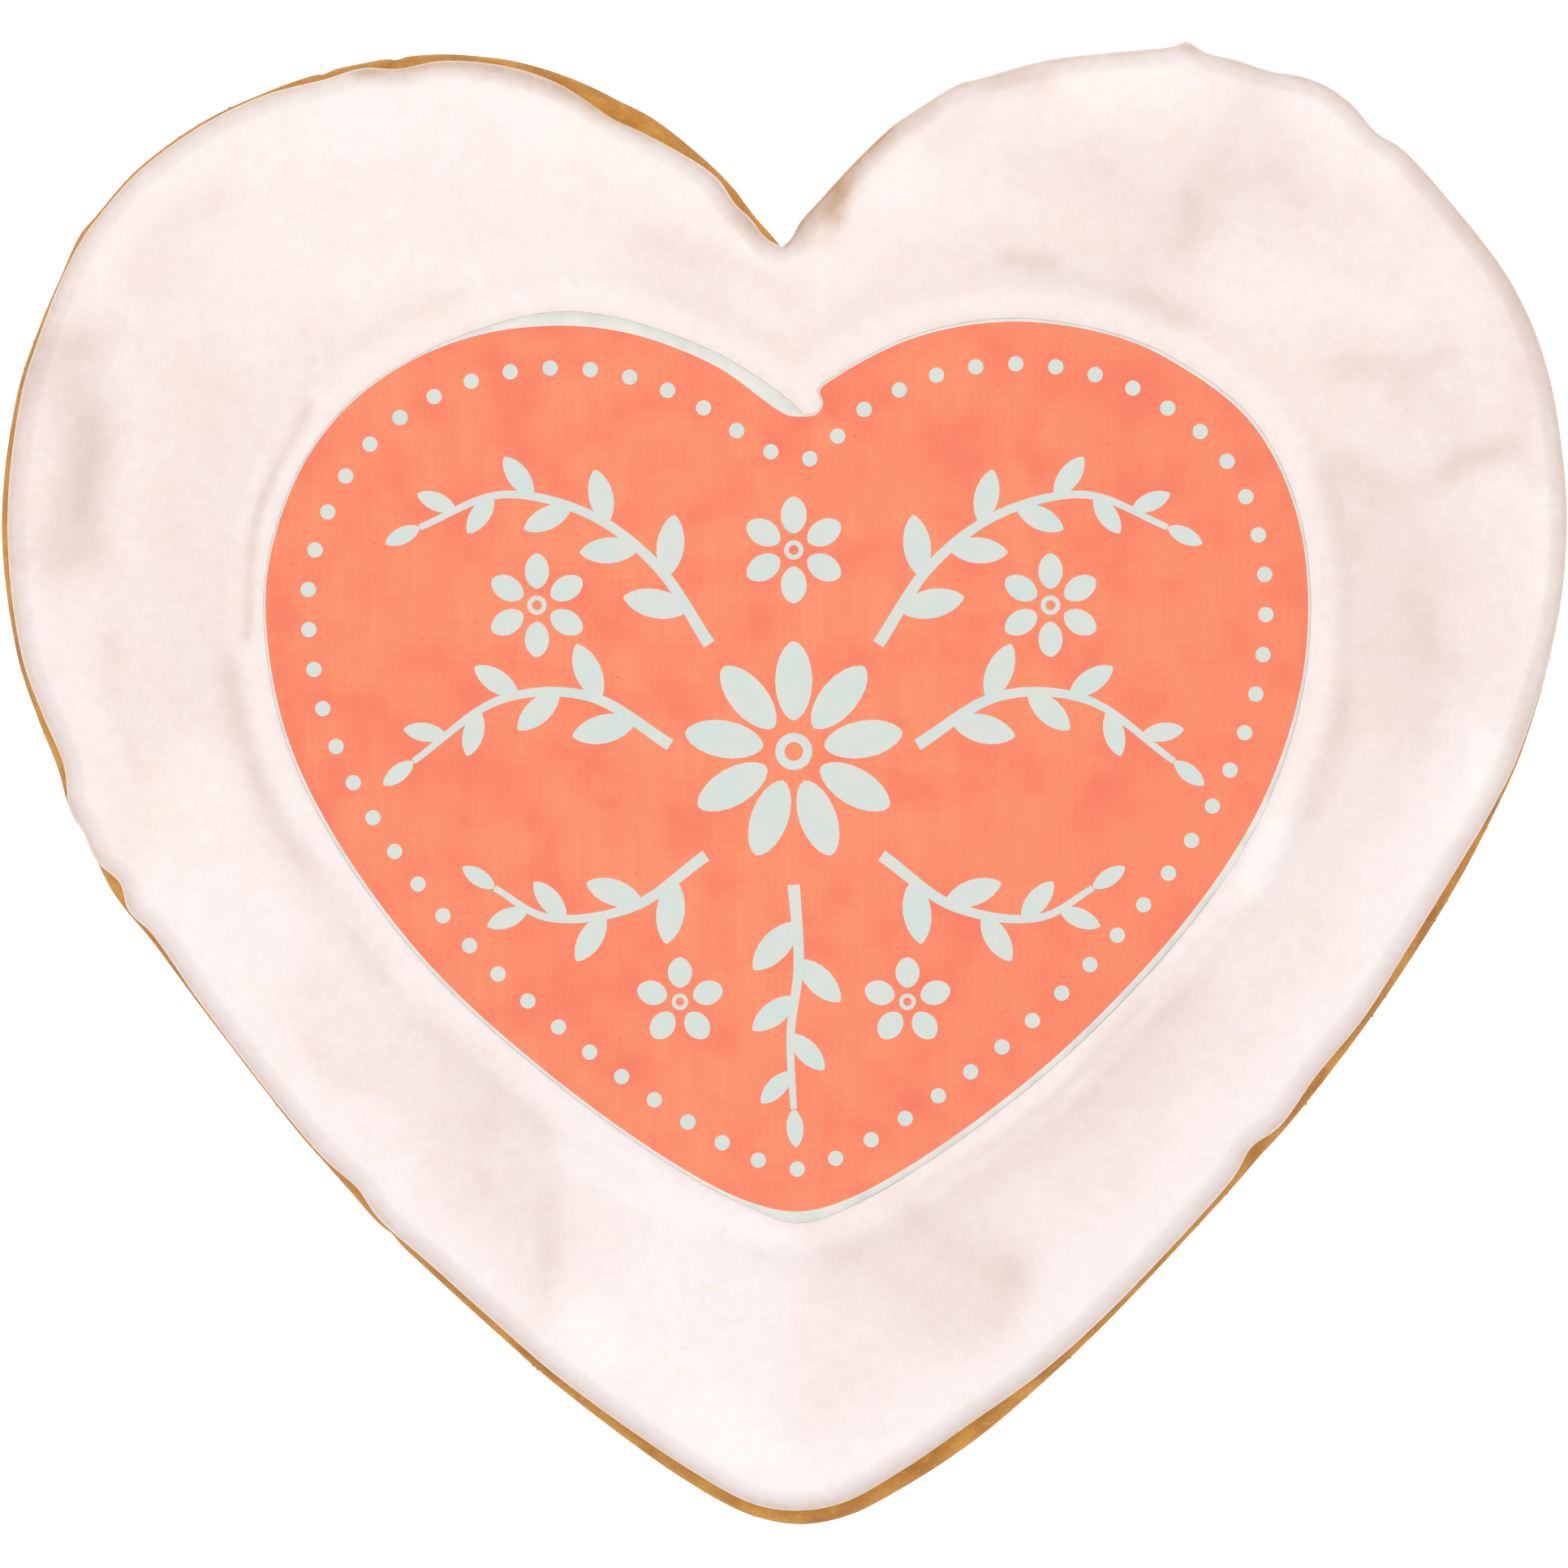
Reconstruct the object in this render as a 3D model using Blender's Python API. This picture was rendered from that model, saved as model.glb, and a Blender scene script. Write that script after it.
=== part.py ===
"""An iced heart biscuit: a baked heart, its layer of poured icing and a printed sugar-paper heart.

The biscuit lies flat on z = 0, iced side up, with the cleft towards +Y. The outlines are in millimetres
in that same frame. A column stands at each step along the outline, and every surface is a set of rings
through these columns.
"""
import math

import bpy
import numpy as np

MM = 0.001

# Heights in millimetres
BISCUIT_TOP = 6.9
ICING_TOP = 8.6
GAP = 0.3
PAPER_THICK = 0.35

# Section of the biscuit: a shoulder shaped like a quarter ellipse, a straight wall and a rounded foot
SHOULDER_IN = 3.0
SHOULDER_DOWN = 3.2
FOOT_IN = 1.3
FOOT_UP = 1.5

# Section of the icing's edge
LIP_THICK = 0.25
EDGE_ROUND_IN = 1.6
EDGE_ROUND_LOW = 0.35
UNDER_STEP = 0.02
SKIRT_DROP = 0.9
SKIRT_RAGGED = 0.35

# The seat in the icing round the paper
SEAT_CLEAR = 0.3
PAPER_LEVEL = 0.1
PAPER_CENTRE = (0.5, 2.0)
RIDGE_RISE = 0.22
RIDGE_WIDE = 2.2

# Gentle unevenness of the icing
WAVE_COUNT = 14
WAVE_RISE = 0.028
WAVE_LENGTHS = (14.0, 34.0)
SEED = 7

# Steps round an outline, and the lengths over which its inward direction is averaged
RIM_STEPS = 160
RIM_BLUR = 2.6
PRINT_BLUR = 1.3

# Rim, anticlockwise from the cleft: x, y, how far in the icing stops, how far in the biscuit stops.
# All four are millimetres. The lowest point is the tip.
RIM = (
    (-0.15, 33.1, 0.0, 0.0), (-0.9, 34.0, 0.4, 0.0), (-1.8, 35.0, 0.3, 0.0), (-2.5, 36.0, 0.55, 0.0),
    (-4.0, 37.7, 0.35, 0.0), (-8.0, 41.0, 1.1, 0.0), (-10.0, 42.05, 1.2, 0.0), (-12.0, 43.05, 0.9, 0.0),
    (-14.0, 43.85, 0.6, 0.0), (-17.0, 44.65, 0.45, 0.0), (-21.0, 45.0, 0.45, 0.0), (-23.9, 44.8, 0.75, 0.0),
    (-26.0, 44.45, 0.35, 0.0), (-28.4, 43.9, 0.5, 0.0), (-32.0, 42.65, 0.2, 0.0), (-36.0, 40.75, 0.2, 0.0),
    (-40.0, 37.8, 0.2, 0.0), (-42.5, 34.95, 0.2, 0.0), (-43.4, 33.9, 0.3, 0.0), (-44.6, 31.3, 0.15, 0.0),
    (-46.0, 28.0, 0.25, 0.0), (-47.3, 24.0, 0.3, 0.0), (-48.25, 16.0, 0.4, 0.0), (-47.3, 8.0, 0.3, 0.0),
    (-46.0, 4.0, 0.4, 0.0), (-44.8, 1.0, 0.45, 0.0), (-44.0, -1.7, 0.0, 0.0), (-43.2, -3.0, 0.0, 0.0),
    (-42.4, -4.7, 0.0, 0.0), (-41.5, -6.5, 0.7, 0.0), (-40.5, -7.9, 0.15, 0.0), (-39.2, -9.4, 0.3, 0.0),
    (-36.0, -13.7, 0.15, 0.0), (-30.0, -21.45, 0.15, 0.0), (-28.2, -23.5, 0.2, 0.0), (-26.7, -25.2, 0.5, 0.0),
    (-25.2, -26.9, 0.25, 0.0), (-22.0, -29.95, 0.4, 0.0), (-18.0, -33.6, 0.45, 0.0), (-14.0, -37.1, 0.5, 0.0),
    (-6.0, -43.0, 0.75, 0.0), (-2.0, -45.1, 0.75, 0.0), (1.0, -45.65, 0.9, 0.0), (4.0, -45.1, 0.9, 0.0),
    (8.0, -43.0, 1.0, 0.0), (12.0, -40.3, 1.05, 0.0), (16.0, -36.9, 0.6, 0.0), (20.0, -33.1, 0.4, 0.0),
    (26.5, -26.2, 0.35, 0.0), (28.2, -24.3, 0.45, 0.0), (29.4, -22.9, 0.8, 0.0), (30.8, -21.4, 0.4, 0.0),
    (33.3, -18.3, 0.6, 0.0), (36.0, -14.7, 0.4, 0.0), (38.6, -10.9, 0.55, 0.0), (41.5, -6.2, 0.55, 0.0),
    (44.0, -1.4, 0.25, 0.0), (45.5, 2.0, 0.15, 0.0), (47.6, 9.5, 0.0, 0.0), (48.25, 15.0, 0.0, 0.3),
    (48.05, 20.0, 0.0, 0.8), (46.95, 26.0, 0.0, 1.1), (44.85, 30.9, 0.0, 1.1), (40.9, 36.1, 0.0, 1.1),
    (38.0, 39.25, 0.0, 1.0), (36.6, 40.1, 0.0, 0.9), (35.0, 41.9, 0.0, 1.2), (33.5, 43.0, 0.0, 1.4),
    (32.0, 43.6, 0.0, 1.4), (30.0, 43.95, 0.0, 1.1), (28.0, 44.6, 0.0, 1.2), (25.9, 45.15, 0.0, 1.3),
    (24.8, 45.8, 0.0, 1.8), (24.0, 45.5, 0.0, 1.5), (20.0, 45.1, 0.0, 1.3), (16.0, 44.6, 0.0, 1.2),
    (12.0, 43.5, 0.0, 1.2), (10.8, 43.2, 0.0, 1.2), (8.0, 41.5, 0.0, 1.1), (6.7, 40.6, 0.0, 0.9),
    (4.0, 38.0, 0.0, 0.6), (2.0, 35.8, 0.0, 0.5), (1.0, 34.7, 0.0, 0.4), (0.4, 33.6, 0.0, 0.2),
    (-0.15, 33.1, 0.0, 0.0),
)

# Edge of the print, anticlockwise from its cleft: x, y and the paper's bare margin beyond it
PRINT_EDGE = (
    (1.3, 22.6, 0.05), (0.2, 22.7, 0.8), (-4.0, 25.6, 0.75), (-8.0, 27.3, 0.7), (-11.0, 28.0, 0.8),
    (-14.0, 28.2, 0.85), (-18.0, 27.8, 0.4), (-22.0, 26.5, 0.1), (-26.0, 24.0, 0.1), (-29.0, 20.6, 0.1),
    (-31.0, 16.3, 0.1), (-31.9, 11.5, 0.1), (-30.9, 4.0, 0.15), (-28.0, -2.6, 0.2), (-22.0, -10.9, 0.2),
    (-14.0, -18.2, 0.2), (-6.0, -23.8, 0.2), (-2.0, -25.75, 0.3), (0.9, -26.3, 0.7), (4.0, -25.5, 0.5),
    (10.0, -22.0, 0.4), (18.0, -15.6, 0.4), (26.0, -6.7, 0.4), (30.0, 0.2, 0.3), (32.1, 8.0, 0.15),
    (31.7, 16.0, 0.15), (28.85, 22.1, 0.2), (23.9, 26.0, 0.2), (20.0, 27.65, 0.15), (14.0, 28.45, 0.2),
    (8.0, 27.45, 0.15), (3.0, 24.9, 0.1), (2.2, 24.2, 0.1), (2.4, 23.4, 0.05), (2.0, 22.75, 0.05),
    (1.3, 22.6, 0.05),
)

# Hollows, swells and creases of the icing: the points of a stroke, its half width and its rise
STROKES = (
    (((-43.8, 26.5), (-44.6, 20.5), (-43.8, 14.5)), 1.5, -0.30),
    (((-42.6, 27.5), (-41.5, 21.0), (-42.6, 15.0)), 1.6, 0.10),
    (((-41.6, 6.0), (-40.4, 2.0)), 1.3, -0.14),
    (((-38.5, 33.5), (-35.5, 36.5)), 2.6, -0.12),
    (((-28.5, -15.5), (-26.5, -18.5)), 1.8, -0.10),
    (((-19.5, -18.5), (-17.0, -22.0)), 3.0, -0.16),
    (((-16.5, -27.0), (-15.5, -31.5)), 2.6, -0.14),
    (((-12.5, -22.0), (-8.5, -24.6), (-4.0, -26.9)), 1.5, 0.20),
    (((-8.0, 32.2), (-1.0, 31.5)), 2.4, -0.14),
    (((-27.0, 24.0), (-20.0, 29.5), (-12.0, 31.3), (-6.0, 30.3), (0.5, 26.6), (4.0, 28.2), (12.0, 31.3),
      (21.0, 30.0)), 1.6, 0.16),
    (((13.0, 43.2), (16.0, 42.4)), 1.6, -0.22),
    (((13.5, 32.9), (17.0, 32.3)), 1.5, -0.20),
    (((21.5, 31.0), (24.5, 28.8)), 1.4, -0.20),
    (((24.5, 34.0), (26.8, 38.0)), 1.7, -0.30),
    (((28.0, 43.0), (30.5, 38.0)), 1.9, -0.18),
    (((35.0, 25.6), (39.5, 25.8)), 1.7, -0.18),
    (((38.5, 18.6), (44.8, 20.8)), 1.3, -0.26),
    (((34.8, 16.5), (37.5, 19.0)), 1.8, -0.14),
    (((38.5, 11.0), (41.0, 7.5)), 2.2, -0.22),
    (((41.5, 3.5), (42.8, -2.5)), 1.2, 0.24),
    (((31.0, -1.5), (28.8, -6.5)), 1.3, 0.24),
    (((22.5, -9.0), (26.0, -11.5), (17.0, -20.0)), 2.8, -0.20),
    (((8.0, -26.0), (14.5, -31.5)), 3.2, -0.34),
    (((-8.0, -43.2), (-1.0, -42.6)), 1.0, 0.10),
    (((-29.2, 22.6), (-31.5, 18.5), (-33.0, 12.0), (-33.5, 8.4)), 0.55, -0.16),
    (((-34.5, 6.6), (-33.2, 1.5), (-30.4, -3.2), (-26.8, -6.4)), 0.6, -0.22),
    (((-26.0, -7.4), (-20.0, -14.6), (-13.0, -20.6)), 0.5, -0.10),
    (((8.4, -24.6), (16.5, -18.8), (22.0, -13.4), (26.3, -8.5)), 0.45, -0.16),
    (((33.8, 19.0), (34.6, 12.0), (34.4, 5.0), (32.4, -1.0)), 0.8, -0.16),
)


def material(name, colour, roughness):
    """Plain surface for one sub-part."""
    surface = bpy.data.materials.new(name)
    surface.use_nodes = True
    shader = surface.node_tree.nodes["Principled BSDF"]
    shader.inputs["Base Color"].default_value = (*colour, 1.0)
    shader.inputs["Roughness"].default_value = roughness
    shader.inputs["Metallic"].default_value = 0.0
    return surface


def spline(knots, steps_between=12):
    """Smooth open curve through the knots, whatever numbers each knot carries besides x and y."""
    knots = np.array(knots, float)
    padded = np.vstack([2 * knots[0] - knots[1], knots, 2 * knots[-1] - knots[-2]])
    spans = np.sqrt(np.hypot(*np.diff(padded[:, :2], axis=0).T))
    times = np.concatenate([[0.0], np.cumsum(spans)])
    curve = []
    for k in range(1, len(padded) - 2):
        t0, t1, t2, t3 = times[k - 1:k + 3]
        p0, p1, p2, p3 = padded[k - 1:k + 3]
        for t in np.linspace(t1, t2, steps_between, endpoint=False):
            a1 = ((t1 - t) * p0 + (t - t0) * p1) / (t1 - t0)
            a2 = ((t2 - t) * p1 + (t - t1) * p2) / (t2 - t1)
            a3 = ((t3 - t) * p2 + (t - t2) * p3) / (t3 - t2)
            b1 = ((t2 - t) * a1 + (t - t0) * a2) / (t2 - t0)
            b2 = ((t3 - t) * a2 + (t - t1) * a3) / (t3 - t1)
            curve.append(((t2 - t) * b1 + (t - t1) * b2) / (t2 - t1))
    curve.append(knots[-1])
    return np.array(curve)


def walk(curve, steps):
    """Equal steps along a curve, from its first point up to but without its last."""
    along = np.concatenate([[0.0], np.cumsum(np.hypot(*np.diff(curve[:, :2], axis=0).T))])
    places = np.linspace(0.0, along[-1], steps + 1)[:-1]
    return np.column_stack([np.interp(places, along, column) for column in curve.T])


def heart(knots, steps):
    """Closed outline, anticlockwise from the cleft, with the tip halfway along its steps."""
    curve = spline(knots)
    tip = int(np.argmin(curve[:, 1]))
    return np.vstack([walk(curve[:tip + 1], steps // 2), walk(curve[tip:], steps // 2)])


def inward(points, blur):
    """Unit vectors that point into a closed outline, averaged over a length of it in millimetres."""
    ahead = np.roll(points, -1, axis=0) - np.roll(points, 1, axis=0)
    normal = np.column_stack([-ahead[:, 1], ahead[:, 0]])
    reach = max(1, round(blur / (np.linalg.norm(ahead, axis=1).mean() / 2)))
    weights = np.hanning(2 * reach + 3)[1:-1]
    normal = sum(weight * np.roll(normal, k - reach, axis=0) for k, weight in enumerate(weights))
    return normal / np.linalg.norm(normal, axis=1)[:, None]


def distance_to_line(x, y, line):
    """Distance from each place to a line of points."""
    best = np.full(np.shape(x), np.inf)
    for (ax, ay), (bx, by) in zip(line[:-1], line[1:]):
        length2 = max((bx - ax) ** 2 + (by - ay) ** 2, 1e-9)
        t = np.clip(((x - ax) * (bx - ax) + (y - ay) * (by - ay)) / length2, 0.0, 1.0)
        best = np.minimum(best, np.hypot(x - ax - t * (bx - ax), y - ay - t * (by - ay)))
    return best


def waves(x, y):
    """Slow unevenness of a hand-poured surface, from a few crossing waves."""
    rng = np.random.default_rng(SEED)
    rise = np.zeros(np.shape(x))
    for _ in range(WAVE_COUNT):
        length = rng.uniform(*WAVE_LENGTHS)
        turn = rng.uniform(0.0, math.tau)
        start = rng.uniform(0.0, math.tau)
        rise += WAVE_RISE * np.sin(math.tau * (x * math.cos(turn) + y * math.sin(turn)) / length + start)
    return rise


def icing_height(x, y, paper_edge):
    """Height of the icing's open surface: level, waves, the ridge round the paper and each stroke."""
    z = ICING_TOP + waves(x, y)
    away = distance_to_line(x, y, np.vstack([paper_edge, paper_edge[:1]]))
    z += RIDGE_RISE * np.exp(-(away / RIDGE_WIDE) ** 2)
    for points, half_width, rise in STROKES:
        line = spline(points, 6) if len(points) > 2 else np.array(points)
        z += rise * np.exp(-(distance_to_line(x, y, line) / half_width) ** 2)
    return z


def shoulder(clear):
    """Inset from the rim and height along the biscuit's shoulder, moved out square to it by a gap."""
    angle = np.linspace(0.0, math.pi / 2, 40)
    inset = SHOULDER_IN * (1 - np.cos(angle))
    height = BISCUIT_TOP - SHOULDER_DOWN * (1 - np.sin(angle))
    square = np.column_stack([np.cos(angle) / SHOULDER_IN, np.sin(angle) / SHOULDER_DOWN])
    square /= np.linalg.norm(square, axis=1)[:, None]
    return inset - clear * square[:, 0], height + clear * square[:, 1]


def skin(rings, low_centre, high_centre):
    """Vertices and faces of a closed body through rings of equal length, from its underside to its top."""
    count = len(rings[0])
    vertices = np.vstack(rings + [[low_centre], [high_centre]]) * MM
    low = len(vertices) - 2
    high = len(vertices) - 1
    faces = []
    for i in range(count):
        j = (i + 1) % count
        faces.append((low, j, i))
        for k in range(len(rings) - 1):
            a = k * count
            b = a + count
            faces.append((a + i, a + j, b + j, b + i))
        top = (len(rings) - 1) * count
        faces.append((top + i, top + j, high))
    return vertices, faces


def build(name, rings, low_centre, high_centre, surface):
    """Named object through the rings, shaded smooth."""
    vertices, faces = skin(rings, low_centre, high_centre)
    mesh = bpy.data.meshes.new(name)
    mesh.from_pydata([tuple(v) for v in vertices], [], faces)
    mesh.validate()
    mesh.shade_smooth()
    mesh.set_sharp_from_angle(angle=math.radians(50))
    mesh.materials.append(surface)
    thing = bpy.data.objects.new(name, mesh)
    bpy.context.collection.objects.link(thing)
    return thing


def ring(base, direction, inset, height):
    """One ring of points: the base moved inwards, at a height. Inset and height may vary along it."""
    inset = np.broadcast_to(inset, len(base))
    height = np.broadcast_to(height, len(base))
    return np.column_stack([base + direction * inset[:, None], height])


def paper_outline(steps):
    """Outer edge of the sugar paper: the print's edge moved out by its bare margin."""
    outline = heart(PRINT_EDGE, steps)
    return outline[:, :2] - inward(outline[:, :2], PRINT_BLUR) * outline[:, 2:3]


def biscuit(rim, direction):
    """The baked heart: foot, wall, shoulder and the flat top under the icing."""
    base = rim[:, :2] + direction * rim[:, 3:4]
    rings = []
    for angle in np.radians((0.0, 30.0, 60.0, 90.0)):
        rings.append(ring(base, direction, FOOT_IN * (1 - math.sin(angle)), FOOT_UP * (1 - math.cos(angle))))
    for angle in np.radians((0.0, 15.0, 30.0, 45.0, 65.0, 90.0)):
        inset = SHOULDER_IN * (1 - math.cos(angle))
        height = BISCUIT_TOP - SHOULDER_DOWN * (1 - math.sin(angle))
        rings.append(ring(base, direction, inset, height))
    surface = material("baked_biscuit", (0.56, 0.29, 0.07), 0.75)
    return build("biscuit", rings, (0.0, 0.0, 0.0), (0.0, 0.0, BISCUIT_TOP), surface)


def icing(rim, direction, paper_edge):
    """The layer of icing: underside over the biscuit, rounded edge, uneven top and the paper's seat."""
    rng = np.random.default_rng(SEED + 1)
    base = rim[:, :2] + direction * rim[:, 3:4]
    edge_in = rim[:, 2] - rim[:, 3]
    path_in, path_up = shoulder(GAP)
    low = np.interp(edge_in + LIP_THICK, path_in, path_up)
    overhang = np.clip(-edge_in, 0.0, 1.0)
    ragged = np.convolve(rng.uniform(-1.0, 1.0, len(rim) + 4), np.ones(5) / 5, "valid")
    low = low - overhang * (SKIRT_DROP + SKIRT_RAGGED * ragged)
    foot_in = np.maximum(np.interp(low, path_up, path_in), path_in[0])
    foot_step = np.interp(low, path_up, np.arange(len(path_up)))

    rings = [ring(base, direction, SHOULDER_IN, BISCUIT_TOP + GAP)]
    for share in (0.62, 0.3):
        step = foot_step + share * (len(path_up) - 1 - foot_step)
        inset = np.interp(step, np.arange(len(path_up)), path_in)
        rings.append(ring(base, direction, inset, np.interp(step, np.arange(len(path_up)), path_up)))
    above = np.where(low < path_up[0], (low + path_up[0]) / 2, low + UNDER_STEP)
    rings.append(ring(base, direction, foot_in, above))
    rings.append(ring(base, direction, foot_in, low))

    top_in = edge_in + EDGE_ROUND_IN
    top_place = base + direction * top_in[:, None]
    top = icing_height(top_place[:, 0], top_place[:, 1], paper_edge)
    for share in (0.0, 0.38, 0.68, 0.9, 1.0):
        turn = share * math.pi / 2
        inset = edge_in + EDGE_ROUND_IN * (1 - math.cos(turn))
        start = low + EDGE_ROUND_LOW
        height = start + (top - start) * math.sin(turn)
        rings.append(ring(base, direction, inset, height))

    for away in (0.86, 0.72, 0.58, 0.45, 0.33, 0.23, 0.15, 0.09):
        place = paper_edge + (top_place - paper_edge) * away
        rings.append(ring(place, direction, 0.0, icing_height(place[:, 0], place[:, 1], paper_edge)))
    seat_out = paper_edge - inward(paper_edge, PRINT_BLUR) * SEAT_CLEAR
    seat_top = icing_height(seat_out[:, 0], seat_out[:, 1], paper_edge)
    rings.append(ring(seat_out, direction, 0.0, seat_top))
    rings.append(ring(seat_out, direction, 0.0, paper_bottom(seat_out) - GAP))
    centre = np.array(PAPER_CENTRE)
    for share in (0.8, 0.55, 0.28):
        place = centre + (seat_out - centre) * share
        rings.append(ring(place, direction, 0.0, paper_bottom(place) - GAP))
    middle = paper_bottom(centre[None])[0] - GAP
    surface = material("poured_icing", (0.93, 0.86, 0.83), 0.45)
    return build("icing", rings, (0.0, 0.0, BISCUIT_TOP + GAP), (*centre, middle), surface)


def paper_bottom(place):
    """Height of the sugar paper's underside, which follows the slow waves of the icing."""
    return ICING_TOP + PAPER_LEVEL - PAPER_THICK + waves(place[:, 0], place[:, 1])


def sugar_paper():
    """The printed heart: a thin sheet, lying in its seat."""
    edge = paper_outline(RIM_STEPS)
    centre = np.array(PAPER_CENTRE)
    shares = (0.35, 0.75, 1.0)
    rings = []
    for share in shares:
        place = centre + (edge - centre) * share
        rings.append(np.column_stack([place, paper_bottom(place)]))
    for share in reversed(shares):
        place = centre + (edge - centre) * share
        rings.append(np.column_stack([place, paper_bottom(place) + PAPER_THICK]))
    middle = paper_bottom(centre[None])[0]
    surface = material("printed_sugar_paper", (0.95, 0.27, 0.17), 0.6)
    return build("sugar_paper", rings, (*centre, middle), (*centre, middle + PAPER_THICK), surface)


def main():
    for thing in list(bpy.data.objects):
        bpy.data.objects.remove(thing, do_unlink=True)
    rim = heart(RIM, RIM_STEPS)
    direction = inward(rim[:, :2], RIM_BLUR)
    biscuit(rim, direction)
    icing(rim, direction, paper_outline(RIM_STEPS))
    sugar_paper()


main()
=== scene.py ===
"""An iced heart biscuit: a baked heart, its poured icing and a printed sugar-paper heart.

Lengths are millimetres in the part's frame unless said otherwise. The biscuit lies flat on z = 0, iced side
up, with the cleft towards +Y. A column stands at each step along an outline, and every surface is a set of
rings through these columns, as in the part's own source, with more steps and more rings.
"""
import math

import bpy
import numpy as np
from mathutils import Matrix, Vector, geometry, noise


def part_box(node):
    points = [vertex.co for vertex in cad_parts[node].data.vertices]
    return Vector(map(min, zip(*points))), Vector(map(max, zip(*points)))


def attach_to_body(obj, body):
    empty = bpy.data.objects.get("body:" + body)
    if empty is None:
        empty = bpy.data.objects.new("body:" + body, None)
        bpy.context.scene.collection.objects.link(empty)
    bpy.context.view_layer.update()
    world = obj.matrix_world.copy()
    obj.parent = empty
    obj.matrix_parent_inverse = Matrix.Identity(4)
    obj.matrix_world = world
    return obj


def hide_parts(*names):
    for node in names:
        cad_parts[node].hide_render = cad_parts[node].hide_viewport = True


bl_info = {
    "name": "Iced heart biscuit",
    "version": (1, 0, 0),
    "blender": (4, 5, 0),
    "location": "3D View > Sidebar > Heart biscuit",
    "description": "Makes an iced heart biscuit with a printed sugar-paper heart",
    "category": "Object",
}

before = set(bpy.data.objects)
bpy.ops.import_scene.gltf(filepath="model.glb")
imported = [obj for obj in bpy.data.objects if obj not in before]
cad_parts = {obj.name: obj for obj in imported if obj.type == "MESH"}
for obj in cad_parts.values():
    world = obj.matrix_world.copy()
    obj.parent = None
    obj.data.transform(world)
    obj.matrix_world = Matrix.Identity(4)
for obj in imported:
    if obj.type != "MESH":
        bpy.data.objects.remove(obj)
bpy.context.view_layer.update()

MM = 0.001
BODY = "root"

# Heights
BISCUIT_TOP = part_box("biscuit")[1].z / MM
ICING_TOP = 8.6
PAPER_THICK = 0.35
PAPER_LEVEL = 0.1

# Section of the biscuit: a shoulder shaped like a quarter ellipse, a straight wall and a rounded foot, with
# the rings of each, the steps of the shoulder's path, and the shares of the underside at which its rings lie
SHOULDER_IN = 3.0
SHOULDER_DOWN = 3.2
SHOULDER_RINGS = 19
SHOULDER_STEPS = 60
WALL_TOP = BISCUIT_TOP - SHOULDER_DOWN
WALL_RINGS = 10
FOOT_IN = 1.3
FOOT_UP = 1.5
FOOT_RINGS = 9
UNDERSIDE_IN = 2.0
UNDERSIDE_SHARES = (0.2, 0.4, 0.6, 0.8, 0.93)

# Baked crumb: the sizes of its lumps, grit and pores, how far apart their noises are taken, how deep pores
# are and from what noise, and over what length the crumb fades under the icing
CRUMB_LUMP = 1.1
CRUMB_GRIT = 0.32
CRUMB_PORE = 0.6
NOISE_APART = 40.0
PORE_DEPTH = 1.6
PORE_FROM = 0.42
OPEN_FADE = 0.35

# Browning of the underside's rim and of the foot with the height it fades over, and painted shade in a
# millimetre of pore
UNDERSIDE_BROWN = 0.5
FOOT_BROWN = 0.75
FOOT_BROWN_UP = 0.9
PORE_SHADE = 2.0

# Crumbs that cling to the edge: their lowest place, least and greatest scale, and the size and depth of
# their dents. The biscuit's two centre points count as this far in, where no crumb clings.
CRUMBS_ABOVE = 0.3
CRUMB_SIZES = (0.45, 1.5)
CRUMB_DENT = 0.12
CRUMB_DENT_DEEP = 0.09
FAR_IN = 9.0

# Section of the icing's edge. The icing clings to the biscuit, so its underside is a little way into it.
# Shares say where the rings of the underside, of the lip and of the upright edge lie along their parts. The
# skirt is the lowest edge where the icing hangs over the wall: its drop, how ragged it is and how quickly.
CLING = 0.05
CLING_SHARES = (0.8, 0.6, 0.42, 0.26, 0.12, 0.04)
LIP_THICK = 0.25
LIP_BLUR = 2.4
LIP_UNDER = 0.02
LIP_SHARES = (0.25, 0.6)
EDGE_SHARES = (0.0, 0.35, 0.7)
EDGE_RINGS = 19
EDGE_ROUND_IN = 1.4
EDGE_ROUND_DOWN = 1.3
EDGE_ROUND_LOW = 0.35
EDGE_LEAN = 0.06
SKIRT_DROP = 0.9
SKIRT_RAGGED = 0.35
SKIRT_RAGGED_LONG = 4.0
RAGGED_GAIN = 3.0

# The icing's top, its seat round the paper, the ridge round the seat and the bead along the rim
TOP_RINGS = 52
SEAT_LIP = 0.07
SEAT_SHARES = (1.0, 0.75, 0.5, 0.25, 0.08, 0.0)
SEAT_SOFT_STEPS = (0.3, 0.5, 0.75, 1.05, 1.4, 1.8, 2.25)
SOFTENING = 2.2
BED_SHARES = (1.0, 0.7, 0.35)
PAPER_CENTRE = (0.5, 2.0)
PAPER_EDGE_ROUND = 0.03
PAPER_GRID = 0.8
RIDGE_RISE = 0.2
RIDGE_OUT = 1.3
RIDGE_WIDE = 1.4
BEAD_RISE = 0.08
BEAD_IN = 2.3
BEAD_WIDE = 1.6

# Slow and quick unevenness of the icing, and of the strokes' paths as a share of their half width: how many
# waves, their rise and their shortest and longest length. Every random draw starts from the seed.
SLOW_WAVES = (14, 0.028, 14.0, 34.0)
QUICK_WAVES = (26, 0.0028, 2.6, 7.0)
STROKE_WAVES = (6, 0.13, 6.0, 14.0)
SEED = 7

# Steps round an outline and between two points of a stroke, the lengths over which an outline's inward
# direction is averaged, and how many steps lie between the points that distances are measured to
STEPS = 880
STROKE_STEPS = 6
RIM_BLUR = 2.6
PRINT_BLUR = 1.3
RIM_EVERY = 6
PAPER_EVERY = 4

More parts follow.
